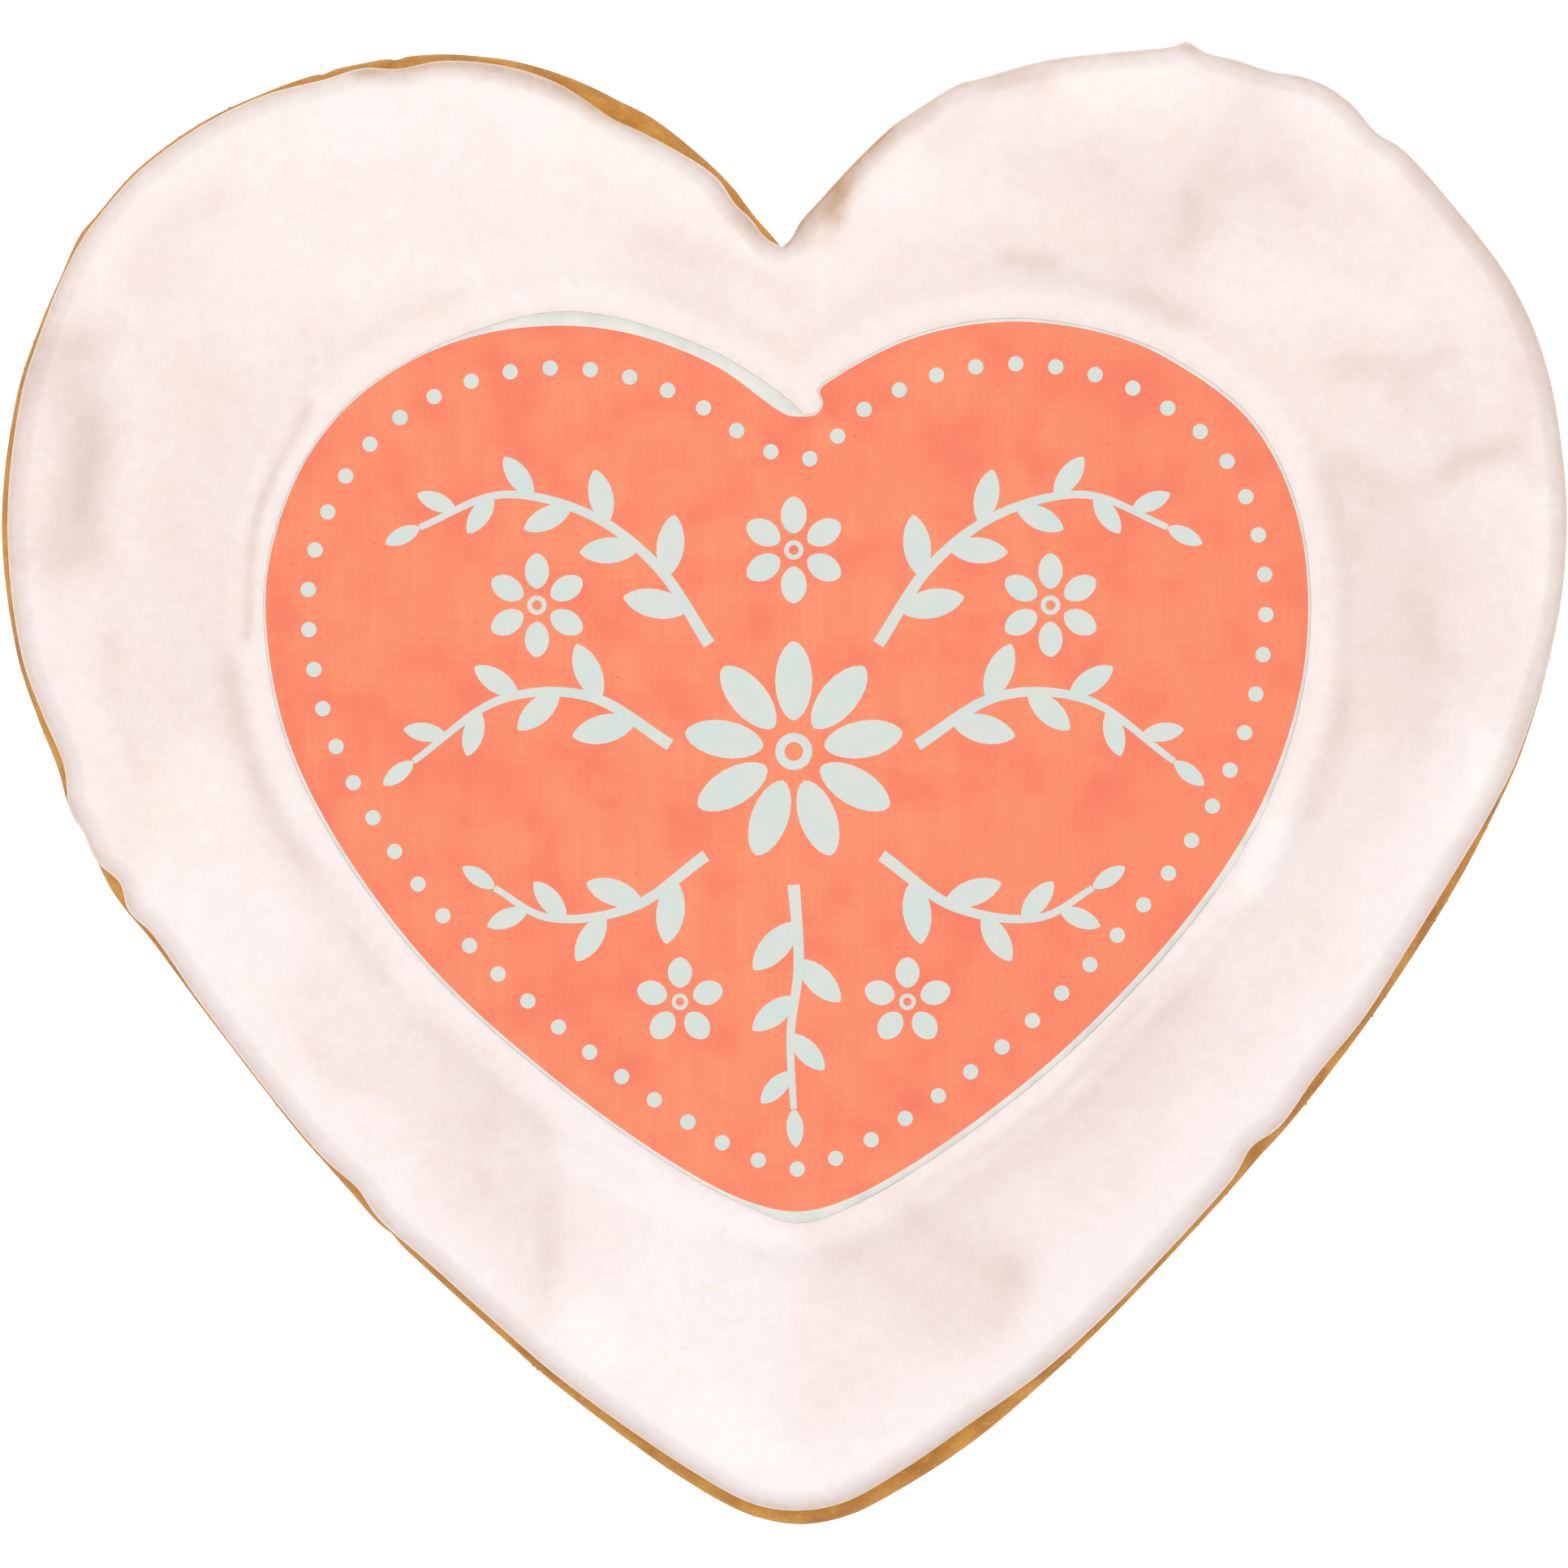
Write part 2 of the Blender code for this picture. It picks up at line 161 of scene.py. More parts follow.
# Rim, anticlockwise from the cleft: x, y, how far in the icing stops, how far in the biscuit stops.
# The lowest point is the tip.
RIM = (
    (-0.15, 33.1, 0, 0), (-0.9, 34, 0.4, 0), (-1.8, 35, 0.3, 0), (-2.5, 36, 0.55, 0), (-4, 37.7, 0.35, 0),
    (-8, 41, 1.1, 0), (-10, 42.05, 1.2, 0), (-12, 43.05, 0.9, 0), (-14, 43.85, 0.6, 0), (-17, 44.65, 0.45, 0),
    (-21, 45, 0.45, 0), (-23.9, 44.8, 0.75, 0), (-26, 44.45, 0.35, 0), (-28.4, 43.9, 0.5, 0),
    (-32, 42.65, 0.2, 0), (-36, 40.75, 0.2, 0), (-40, 37.8, 0.2, 0), (-42.5, 34.95, 0.2, 0),
    (-43.4, 33.9, 0.3, 0), (-44.6, 31.3, 0.15, 0), (-46, 28, 0.25, 0), (-47.3, 24, 0.3, 0),
    (-48.25, 16, 0.4, 0), (-47.3, 8, 0.3, 0), (-46, 4, 0.4, 0), (-44.8, 1, 0.45, 0), (-44, -1.7, 0, 0),
    (-43.2, -3, 0, 0), (-42.4, -4.7, 0, 0), (-41.5, -6.5, 0.7, 0), (-40.5, -7.9, 0.15, 0),
    (-39.2, -9.4, 0.3, 0), (-36, -13.7, 0.15, 0), (-30, -21.45, 0.15, 0), (-28.2, -23.5, 0.2, 0),
    (-26.7, -25.2, 0.5, 0), (-25.2, -26.9, 0.25, 0), (-22, -29.95, 0.4, 0), (-18, -33.6, 0.45, 0),
    (-14, -37.1, 0.5, 0), (-6, -43, 0.75, 0), (-2, -45.1, 0.75, 0), (1, -45.65, 0.9, 0), (4, -45.1, 0.9, 0),
    (8, -43, 1, 0), (12, -40.3, 1.05, 0), (16, -36.9, 0.6, 0), (20, -33.1, 0.4, 0), (26.5, -26.2, 0.35, 0),
    (28.2, -24.3, 0.45, 0), (29.4, -22.9, 0.8, 0), (30.8, -21.4, 0.4, 0), (33.3, -18.3, 0.6, 0),
    (36, -14.7, 0.4, 0), (38.6, -10.9, 0.55, 0), (41.5, -6.2, 0.55, 0), (44, -1.4, 0.25, 0),
    (45.5, 2, 0.15, 0), (47.6, 9.5, 0, 0), (48.25, 15, 0, 0.3), (48.05, 20, 0, 0.8), (46.95, 26, 0, 1.1),
    (44.85, 30.9, 0, 1.1), (40.9, 36.1, 0, 1.1), (38, 39.25, 0, 1), (36.6, 40.1, 0, 0.9), (35, 41.9, 0, 1.2),
    (33.5, 43, 0, 1.4), (32, 43.6, 0, 1.4), (30, 43.95, 0, 1.1), (28, 44.6, 0, 1.2), (25.9, 45.15, 0, 1.3),
    (24.8, 45.8, 0, 1.8), (24, 45.5, 0, 1.5), (20, 45.1, 0, 1.3), (16, 44.6, 0, 1.2), (12, 43.5, 0, 1.2),
    (10.8, 43.2, 0, 1.2), (8, 41.5, 0, 1.1), (6.7, 40.6, 0, 0.9), (4, 38, 0, 0.6), (2, 35.8, 0, 0.5),
    (1, 34.7, 0, 0.4), (0.4, 33.6, 0, 0.2), (-0.15, 33.1, 0, 0),
)

# Edge of the print, anticlockwise from its cleft: x, y and the paper's bare margin beyond it
PRINT_EDGE = (
    (1.3, 22.6, 0.12), (0.2, 22.7, 0.8), (-4, 25.6, 0.75), (-8, 27.3, 0.7), (-11, 28, 0.8), (-14, 28.2, 0.85),
    (-18, 27.8, 0.4), (-22, 26.5, 0.1), (-26, 24, 0.1), (-29, 20.6, 0.1), (-31, 16.3, 0.1),
    (-31.9, 11.5, 0.1), (-30.9, 4, 0.15), (-28, -2.6, 0.2), (-22, -10.9, 0.2), (-14, -18.2, 0.2),
    (-6, -23.8, 0.2), (-2, -25.75, 0.3), (0.9, -26.3, 0.7), (4, -25.5, 0.5), (10, -22, 0.4), (18, -15.6, 0.4),
    (26, -6.7, 0.4), (30, 0.2, 0.3), (32.1, 8, 0.15), (31.7, 16, 0.15), (28.85, 22.1, 0.2), (23.9, 26, 0.2),
    (20, 27.65, 0.15), (14, 28.45, 0.2), (8, 27.45, 0.15), (3, 24.9, 0.1), (2.2, 24.2, 0.1), (2.4, 23.4, 0.1),
    (2, 22.75, 0.1), (1.3, 22.6, 0.12),
)

# Hollows, swells and creases of the icing. Each stroke, here and below, is a half width, a strength, which is
# its rise here, and then x and y of each of its points.
STROKES = (
    (1.6, -0.22, -43.4, 27, -44.2, 22.5, -44.2, 18.5, -44, 15), (2.2, 0.12, -40.2, 26.5, -40, 21, -40.8, 15),
    (1.8, -0.12, -41.4, 7, -40.4, 1.5), (3.2, -0.14, -40.5, 32.5, -36, 36),
    (2.4, -0.12, -29.5, -15, -27, -18.5), (3.4, -0.1, -20, -19, -17, -22.5),
    (2.4, -0.14, -17, -26.5, -16.4, -32), (2, 0.08, -13, -27.5, -12.6, -32.5),
    (2.4, 0.08, -12.5, -22.2, -8.5, -24.8, -4, -27.3, 0.8, -28.6), (3, -0.12, -8, 33.5, -3, 31.5),
    (2.2, -0.18, 12, 42.5, 16.5, 42), (1.8, -0.16, 13, 32.6, 18, 32.2), (1.9, -0.16, 21.5, 31.3, 25, 29),
    (1.7, -0.16, 24.8, 34.6, 26, 36.8), (2.4, -0.08, 29, 35, 30.5, 38.5), (2.6, -0.14, 28, 42.5, 31, 38.5),
    (2.2, -0.14, 34.5, 25.4, 39.5, 25.8), (1.2, -0.14, 40.8, 19.2, 42.2, 20, 44.8, 20.9),
    (2.2, -0.1, 34.8, 16.5, 38, 18), (2.8, -0.14, 38.5, 11.5, 40.5, 7.5), (2.6, -0.08, 36.5, 3, 37, -1.5),
    (1.2, 0.14, 43, 2.6, 42.4, -1.5), (1.6, 0.16, 30.6, -2.5, 28.8, -6.5),
    (3, -0.16, 22.5, -10, 25.5, -12, 18, -19.5), (1.6, -0.16, 7.5, -25.8, 10.5, -28.6, 13.6, -31),
    (1.8, 0.1, 16.6, -26.5, 17, -31), (1.2, 0.07, -8, -42.6, -1, -42.2), (0.9, -0.05, -15, -28.5, -16, -31),
    (0.6, -0.16, -29.8, 22.4, -32, 18.5, -33.4, 12.5, -33.7, 9),
    (1, -0.11, -34.5, 6.6, -33.4, 1.5, -30.8, -3.2, -27.2, -6.6),
    (0.6, -0.06, -26.4, -7.4, -20.4, -14.6, -13.4, -20.6),
    (0.5, -0.1, 8.4, -25, 16.5, -19.2, 22, -13.8, 26.7, -8.7),
    (1, -0.04, 34.4, 18.5, 35, 12, 34.8, 5, 33, -1),
)

# Painted shade and painted highlight on the icing's relief, partly greyer thin icing as well: broad parts
# drawn greyer and browner, and paler where the strength is negative
SHADES = (
    (2, 0.46, -44, 27.6, -43.8, 22, -43.6, 18.5, -44, 14.6), (1.1, 0.22, -43.8, 27.2, -40.8, 27.8),
    (0.9, 0.16, -43.2, 21.4, -43.4, 17), (0.9, 0.2, -46, 25.5, -46.6, 19.5, -46.4, 14.5),
    (1.5, 0.16, -45, 13, -44.4, 7, -42.6, 0.5, -40.5, -3), (1.5, 0.18, -39.2, 31.5, -38, 33.8, -35, 36.3),
    (0.8, 0.16, -41.7, 8.6, -41, 4.5, -39.8, 0.8), (2.6, 0.12, -35.6, 24, -36.4, 14, -36, 3),
    (0.4, 0.42, -29.4, 23.2, -31.2, 19.5, -32.5, 15, -33.2, 9.4),
    (0.7, 0.18, -34.5, 8, -33.9, 3.5, -32.2, -0.8, -29.6, -4.8), (1.1, 0.16, -29, -5.8, -25, -10.5),
    (2.6, -0.2, -36.4, 0, -34, -5, -31.5, -10), (5.5, -0.18, -33, 33, -24, 38, -14, 37.5),
    (1.3, -0.14, -26, 31.5, -16, 31.8, -9, 31), (1, 0.16, -28.8, -15.6, -27, -18.2),
    (3.2, 0.1, -21, -16, -18.5, -24, -15.5, -30), (0.9, 0.14, -18.8, -20.4, -18.2, -21.2),
    (0.5, 0.14, -18.6, -24.2, -18.4, -24.8), (0.8, 0.12, -14.6, -26.5, -14.5, -31.5),
    (1.1, -0.34, -13, -23, -10, -25, -6, -26.8), (1.3, -0.16, -5, -27.4, 0.8, -29.4),
    (4.4, -0.28, -8, -31, -3, -36, -3, -41), (0.5, -0.2, -4.6, -42, -1.4, -42.2),
    (1.2, 0.2, 7.4, -25.7, 10, -28.6, 13.6, -30.4), (1, 0.16, 13.8, -29.6, 13, -33),
    (2.6, 0.22, 4, -28.6, 8.5, -31, 12, -33.6), (2.4, 0.22, 12, -25, 18, -20.4, 24.6, -13.6),
    (0.3, 0.2, 8.4, -24.9, 15, -20.6, 22.2, -13.6), (2, 0.06, 21.5, -25, 27, -20.5, 33, -12),
    (1.5, 0.24, -7.6, 33.2, -3, 32.4, 0.4, 30.4), (0.9, 0.14, -4.4, 36, -1.6, 34.4),
    (0.9, 0.42, 1.2, 33.4, 3.4, 36.2, 6, 39.4, 8.6, 41.6), (1.2, 0.2, 9, 39.6, 11.5, 41.6),
    (0.8, 0.34, 13, 43, 16, 43.3), (2.6, -0.14, 8, 37, 12, 36), (1.8, -0.12, 18, 41.6, 23.5, 42.6),
    (0.6, 0.3, 13.6, 32.2, 16.6, 32), (2.6, 0.16, 19, 37.5, 21.5, 33.5), (0.8, 0.24, 22, 30.2, 25.2, 28.9),
    (1.8, 0.24, 26.8, 37, 25.4, 35.8, 24.8, 34.6), (0.7, 0.12, 24.9, 36.2, 25, 34.4),
    (1.2, 0.18, 28.4, 43.4, 27.8, 41.4, 27.4, 39.8), (1.8, 0.14, 30.2, 41, 31, 38.5, 32.6, 36),
    (1.6, 0.12, 35.5, 35.4, 39, 34), (2.2, -0.14, 28.5, 30.6, 34, 30.6, 38.5, 29.2),
    (1.7, 0.28, 40, 37.2, 43.6, 33, 45.6, 27, 46.4, 19), (0.9, 0.22, 34.8, 25.8, 37.5, 25.2, 41, 26.2),
    (1.5, 0.14, 38.5, 23.6, 42.5, 22.4), (0.8, 0.3, 40.6, 19.2, 42, 20, 44.6, 20.8),
    (0.6, 0.14, 41.4, 19.9, 43.6, 20.6), (1, 0.16, 34.8, 19.2, 37.2, 18, 39, 18.4),
    (3.4, 0.22, 37, 16, 38.6, 11, 38, 5), (1.1, 0.16, 39.2, 11, 40.2, 8.2, 41.6, 7),
    (0.5, 0.14, 33.3, 14, 33.3, 9.5), (0.7, 0.18, 34.7, 4.6, 34, 1, 32.8, -1.6),
    (0.9, -0.04, 46.7, 17, 46.4, 12.5), (1.2, 0.14, 46.2, 10, 44.8, 3.6),
    (1.8, 0.14, 44.8, 15, 44.2, 9, 43, 5.5), (2, 0.12, 41.5, 33.5, 44, 27.5, 45, 23),
    (0.8, -0.26, 42.7, 1.8, 42.2, -0.6, 41.4, -2.6), (0.9, -0.2, 30.4, -3, 28.8, -6.2),
    (1, -0.2, -2.4, 33.2, 0.2, 31.8),
)

# Painted shade of all the icing, more from some way inside the rim, which leaves a painted highlight along
# the rounded rim, less by a share of a stroke's rise, and less on the ridge round the paper, a painted
# highlight there
SHADE_EVEN = 0.14
SHADE_INSIDE = 0.26
SHADE_FROM = 2.0
SHADE_FADE = 4.0
SHADE_OF_RELIEF = 0.5
RIDGE_HIGHLIGHT = 0.16
RIDGE_HIGHLIGHT_OUT = 0.9
RIDGE_HIGHLIGHT_WIDE = 1.1

# Where the icing is so thin that the biscuit shows through
THIN_PATCHES = (
    (0.8, 0.5, 3.6, 36.4, 3.3, 35), (1.1, 0.14, 3.9, 36.6, 3, 33.8), (0.9, 0.22, 3.9, 37.4, 6, 39.4),
    (0.7, 0.16, 1.1, 34.3, 2.4, 35.4), (0.13, 0.6, 0.2, 33.2, 1, 34.6, 2, 35.7, 4, 37.9, 6.6, 40.4),
    (0.7, 0.2, -2.9, 35.2, -1.2, 33.6), (0.7, 0.3, -26, 44.2, -20, 44.4, -13, 42.6, -8, 40.2),
)

# How thin the icing looks along its edge and over what width, from what height up and over what fade this
# shows, the least that shows below, and what shows where the icing ends on the shoulder, at least so far in
THIN_AT_EDGE = 0.42
THIN_EDGE_WIDE = 0.38
THIN_ABOVE = 6.9
THIN_FADE = 1.0
THIN_LEAST = 0.12
THIN_AT_OPEN_EDGE = 0.6
OPEN_EDGE_IN = 0.3

# Spots where the print took more colour
FLUSHED_SPOTS = (
    (1.1, 1, 7.6, -19.6, 7.9, -19.6), (1.2, 0.8, 19.5, -0.8, 20, -0.6), (2.4, 0.4, 19, 24.5, 21, 23.6),
    (3, 0.35, -14.5, -10.5, -11.5, -12), (3.4, 0.35, -24, 4, -21, 1.5), (2.2, 0.35, 8.5, 20.2, 12, 21),
    (0.6, 0.9, 2.6, 23.8, 2.8, 23), (0.6, 0.7, 0.6, 22.2, 1.2, 22.3),
    (0.35, 0.6, -31.4, 14, -30.6, 4, -27.6, -3, -21.6, -11.2), (0.35, 0.5, -18, 27.6, -14, 28, -10, 27.7),
    (0.4, 0.6, 4, 25.5, 6.5, 26.7), (7, 0.22, 22, 23, 29, 14, 24, -2, 12, -13),
)

# Pits in the baked edge: a place on the rim, half width and depth
PITS = (
    ((-23.9, 44.9), 0.4, 0.16), ((-28.4, 44), 0.4, 0.14), ((-2.8, 35.6), 0.4, 0.25), ((-24, -27.6), 0.5, 0.2),
)

# The printed design, measured from its upright axis: stems on both sides, the middle stem, flowers as
# x, y, petals, petal length, petal width and the radius that the petals start at
AXIS = 0.6
SIDE_STEMS = (
    ((5.2, 8.6), (8.4, 13.4), (12.6, 16.6), (18, 17.8), (23, 15.8)),
    ((7.6, 2.4), (12.6, 5.4), (18, 5.2), (23.4, 1.4)), ((5.4, -4.4), (10, -7.6), (15.2, -8.2), (18.4, -6.4)),
)
MIDDLE_STEM = (
    (0, -6.2), (0.3, -11), (-0.2, -15.6), (0, -20),
)
FLOWERS = (
    (0, 2, 9, 4.9, 2.3, 1.9), (15.8, 11, 6, 2.2, 1.5, 1), (-15.8, 11, 6, 2.2, 1.5, 1),
    (0, 14.4, 6, 2.3, 1.6, 1), (7, -13.4, 5, 1.9, 1.5, 0.85), (-7, -13.4, 5, 1.9, 1.5, 0.85),
)

# The border of dots, in from the print's edge, and the ink: its thickness and how far it stands proud
BORDER_IN = 2.6
BORDER_BLUR = 6 * PRINT_BLUR
BORDER_STEPS = 240
INK_THICK = 0.06
INK_PROUD = 0.03

# Leaves and petals: their sides, how far leaves turn from the stem and shrink towards its end, and how
# pointed they are. Points left of LEFT_SIDE have their leaf on the other side. From ALMOST_END on, a leaf
# stands at the end of its path.
LEAF_SIDES = 20
LEAF_TURN = math.radians(46)
LEAF_TAPER = 0.45
LEAF_POINT = 0.45
PETAL_POINT = 0.18
LEFT_SIDE = -0.5
ALMOST_END = 0.999

# Stems: how much thicker than a leaf and how tapered. The eye of a flower: its size against the petals'
# circle, and its line's width against that circle's radius.
STEM_OVER_LEAF = 2.2
STEM_TAPER = 1.1
STEM_STEPS = 10
CIRCLE_STEPS = 48
EYE_SHARE = 0.45
EYE_LINE = 0.3
EYE_STEP = 1.0

# Sugar paper: its finish, and the strength and depth of its weave
PAPER_FINISH = {"Roughness": 0.62, "IOR": 1.45, "Specular IOR Level": 0.25}
WEAVE_RELIEF = (0.5, 0.012)

# A wave texture turns through this many radians in one unit of its scaled coordinate
WAVE_RADIANS = 20

# The kinds of node that are used most. The kind that mixes colours names three sockets alike, so these are
# their numbers.
MATH = "ShaderNodeMath"
NOISE = "ShaderNodeTexNoise"
RANGE = "ShaderNodeMapRange"
MIX_FACTOR = 0
MIX_FIRST = 6
MIX_SECOND = 7
MIX_RESULT = 2

# The stage: half the floor's side, the lamps' places and sizes, all in metres, how far the floor is below
# the biscuit, so that no two faces lie in one plane, and the camera's lens and sensor
FLOOR_HALF = 1.5
SQUARE = ((-1, -1), (1, -1), (1, 1), (-1, 1))
FLOOR_GAP = 0.02
KEY_LIGHT = ((-0.46, 0.24, 0.42), 0.24)
TOP_LIGHT = ((0.0, 0.02, 0.70), 0.60)
LENS = 800.0
SENSOR = 36.0


def linear(hex_code):
    """Linear colour, as a shader takes it, of an sRGB hex code."""
    parts = [int(hex_code[k:k + 2], 16) / 255 for k in (1, 3, 5)]
    return tuple(p / 12.92 if p <= 0.04045 else ((p + 0.055) / 1.055) ** 2.4 for p in parts)


def a_colour(name, description, hex_code):
    """A colour that a user may change."""
    return bpy.props.FloatVectorProperty(
        name=name, description=description, default=linear(hex_code), subtype="COLOR", min=0.0, max=1.0,
    )


def a_number(name, description, default, **more):
    """A number that a user may change."""
    return bpy.props.FloatProperty(name=name, description=description, min=0.0, default=default, **more)


def a_length(name, description, millimetres):
    """A length that a user may change."""
    return a_number(name, description, millimetres * MM, unit="LENGTH", precision=6)


class BakingSettings(bpy.types.PropertyGroup):
    """Colours and crumb of the baked heart."""

    mid: a_colour("Crust", "Golden brown of the baked edge", "#E2A147")
    dark: a_colour("Dark crust", "Browner spots and the underside's rim", "#BF7A30")
    pale: a_colour("Pale crumb", "Paler dough where the cutter sheared it", "#EABD74")
    grit: a_length("Crumb relief", "How far the baked edge is rough", 0.015)
    crumb: a_length("Loose crumb", "Radius of a crumb that clings to the edge", 0.06)
    crumbs: a_number("Crumbs", "Crumbs for each square millimetre of the edge", 0.1)


class IcingSettings(bpy.types.PropertyGroup):
    """Colours and finish of the icing."""

    main: a_colour("Icing", "Pale pink of the poured icing", "#FFF3F2")
    creamy: a_colour("Creamy spots", "Slightly yellower parts of the icing", "#FFF1E8")
    # Painted shade: the greyer pink drawn where the icing's relief is shaded, partly for thin icing
    hollow: a_colour("Hollows", "Greyer pink where the icing is thin", "#E2CBC1")
    through: a_colour("Show-through", "Biscuit seen through the thinnest icing", "#C4935E")
    roughness: a_number("Roughness", "Satin of the set icing", 0.42, subtype="FACTOR", max=1.0)
    relief: a_number("Relief", "Depth of the hollows against the modelled ones", 1.0)


class PrintSettings(bpy.types.PropertyGroup):
    """Colours and sizes of the printed heart."""

    field: a_colour("Field", "Coral of the printed heart", "#FF906B")
    flush: a_colour("Flush", "Redder coral where the ink pooled", "#FD7C62")
    warm: a_colour("Warm", "Oranger coral of the thinner ink", "#FF9B72")
    speck: a_colour("Specks", "Dark dust of the ink", "#B4674E")
    bare: a_colour("Bare paper", "Sugar paper beyond the print", "#F1EEE6")
    ink: a_colour("Motifs", "Pale mint of the motifs", "#DFE4DC")
    tint: a_colour("Motif tint", "Bluer parts of the motifs", "#D6E3DE")
    dot: a_length("Border dot", "Diameter of a dot in the border", 0.95)
    dot_step: a_length("Border step", "From one border dot to the next", 2.5)
    leaf: a_length("Leaf", "Length of the lowest leaf of a stem", 4.3)
    leaf_wide: a_length("Leaf width", "Width of the lowest leaf of a stem", 1.9)
    leaf_step: a_length("Leaf step", "From one leaf to the next along a stem", 2.3)
    stem_wide: a_length("Stem", "Width of a stem", 0.75)


class StageSettings(bpy.types.PropertyGroup):
    """Floor, light and camera."""

    floor: a_colour("Floor", "Pale plain floor", "#FFFFFF")
    table: a_colour("Table", "What the floor gives back of the light on it", "#6C6C6C")
    glow: a_number("Floor glow", "Light of the floor itself, as on a light table", 1.3)
    key: a_number("Key light", "Power of the large soft light at the upper left", 0.2, unit="POWER")
    top: a_number("Top light", "Power of the wide lamp above the table", 4.42, unit="POWER")
    sky: a_number("Surround", "Strength of the even pale surround", 0.16)
    view: a_length("Picture width", "Width that the camera sees at the icing", 96.48)


def blend(t, start, end, first, last):
    """Straight blend of two values over the time from a start to an end."""
    return ((end - t) * first + (t - start) * last) / (end - start)


def spline(knots, steps_between=12):
    """Smooth open curve through the knots, whatever numbers each knot carries besides x and y."""
    knots = np.array(knots, float)
    padded = np.vstack([2 * knots[0] - knots[1], knots, 2 * knots[-1] - knots[-2]])
    spans = np.sqrt(np.hypot(*np.diff(padded[:, :2], axis=0).T))
    times = np.concatenate([[0.0], np.cumsum(spans)])
    curve = []
    for k in range(1, len(padded) - 2):
        t0, t1, t2, t3 = times[k - 1:k + 3]
        p0, p1, p2, p3 = padded[k - 1:k + 3]
        t = np.linspace(t1, t2, steps_between, endpoint=False)[:, None]
        middle = blend(t, t1, t2, p1, p2)
        before = blend(t, t0, t2, blend(t, t0, t1, p0, p1), middle)
        after = blend(t, t1, t3, middle, blend(t, t2, t3, p2, p3))
        curve.append(blend(t, t1, t2, before, after))
    return np.vstack([*curve, knots[-1]])


def walk(curve, steps):
    """Equal steps along a curve, from its first point up to but without its last."""
    along = np.concatenate([[0.0], np.cumsum(np.hypot(*np.diff(curve[:, :2], axis=0).T))])
    places = np.linspace(0.0, along[-1], steps + 1)[:-1]
    return np.column_stack([np.interp(places, along, column) for column in curve.T])


def heart(knots, steps):
    """Closed outline, anticlockwise from the cleft, with the tip halfway along its steps."""
    curve = spline(knots)
    tip = int(np.argmin(curve[:, 1]))
    return np.vstack([walk(curve[:tip + 1], steps // 2), walk(curve[tip:], steps // 2)])


def averaged(rows, reach):
    """Each row of a closed outline averaged with so many rows on each side of it."""
    weights = np.hanning(2 * reach + 3)[1:-1]
    weights /= weights.sum()
    return sum(weight * np.roll(rows, k - reach, axis=0) for k, weight in enumerate(weights))


def reach_of(points, blur):
    """How many steps of a closed outline a length in millimetres is."""
    return max(1, round(blur / np.linalg.norm(np.diff(points, axis=0), axis=1).mean()))


def inward(points, blur):
    """Unit vectors that point into a closed outline, averaged over a length of it in millimetres."""
    ahead = np.roll(points, -1, axis=0) - np.roll(points, 1, axis=0)
    normal = averaged(np.column_stack([-ahead[:, 1], ahead[:, 0]]), reach_of(points, blur))
    return normal / np.linalg.norm(normal, axis=1)[:, None]


def rim_columns():
    """The rim, the biscuit's columns, their inward directions, and how far in from them the icing stops."""
    rim = heart(RIM, STEPS)
    outline = rim[:, :2]
    direction = inward(outline, RIM_BLUR)
    return outline, outline + direction * rim[:, 3:4], direction, rim[:, 2] - rim[:, 3]


def paper_outline(steps):
    """Outer edge of the sugar paper: the print's edge moved out by its bare margin."""
    outline = heart(PRINT_EDGE, steps)
    return outline[:, :2] - inward(outline[:, :2], PRINT_BLUR) * outline[:, 2:3]


def distance_to_line(x, y, line):
    """Distance from each place to a line of points."""
    best = np.full(np.shape(x), np.inf)
    for (ax, ay), (bx, by) in zip(line[:-1], line[1:]):
        length2 = max((bx - ax) ** 2 + (by - ay) ** 2, 1e-9)
        t = np.clip(((x - ax) * (bx - ax) + (y - ay) * (by - ay)) / length2, 0.0, 1.0)
        best = np.minimum(best, np.hypot(x - ax - t * (bx - ax), y - ay - t * (by - ay)))
    return best


def distance_to_outline(x, y, outline, every=1):
    """Distance from each place to a closed outline, of which only some points are used."""
    coarse = outline[::every]
    return distance_to_line(x, y, np.vstack([coarse, coarse[:1]]))


def bell(away, half_width):
    """Smooth share, from one where the distance is nothing to none well beyond the half width."""
    return np.exp(-(away / half_width) ** 2)


def grid_inside(outline, spacing):
    """Points of a triangular grid that lie inside a closed outline, clear of it."""
    low, high = outline.min(axis=0), outline.max(axis=0)
    rows = np.arange(low[1], high[1], spacing * math.sqrt(0.75))
    x, y = np.meshgrid(np.arange(low[0], high[0], spacing), rows)
    x[1::2] += spacing / 2
    x, y = x.ravel(), y.ravel()
    inside = np.zeros(len(x), bool)
    for (ax, ay), (bx, by) in zip(outline, np.roll(outline, -1, axis=0)):
        if ay != by:
            inside ^= ((ay > y) != (by > y)) & (x < ax + (y - ay) * (bx - ax) / (by - ay))
    return np.column_stack([x, y])[inside & (distance_to_outline(x, y, outline) > spacing / 2)]


def waves(x, y, count, rise, shortest, longest, seed=SEED):
    """Unevenness of a hand-poured surface, from crossing waves."""
    rng = np.random.default_rng(seed)
    total = np.zeros(np.shape(x))
    for _ in range(count):
        length = rng.uniform(shortest, longest)
        turn = rng.uniform(0.0, math.tau)
        start = rng.uniform(0.0, math.tau)
        total += rise * np.sin(math.tau * (x * math.cos(turn) + y * math.sin(turn)) / length + start)
    return total


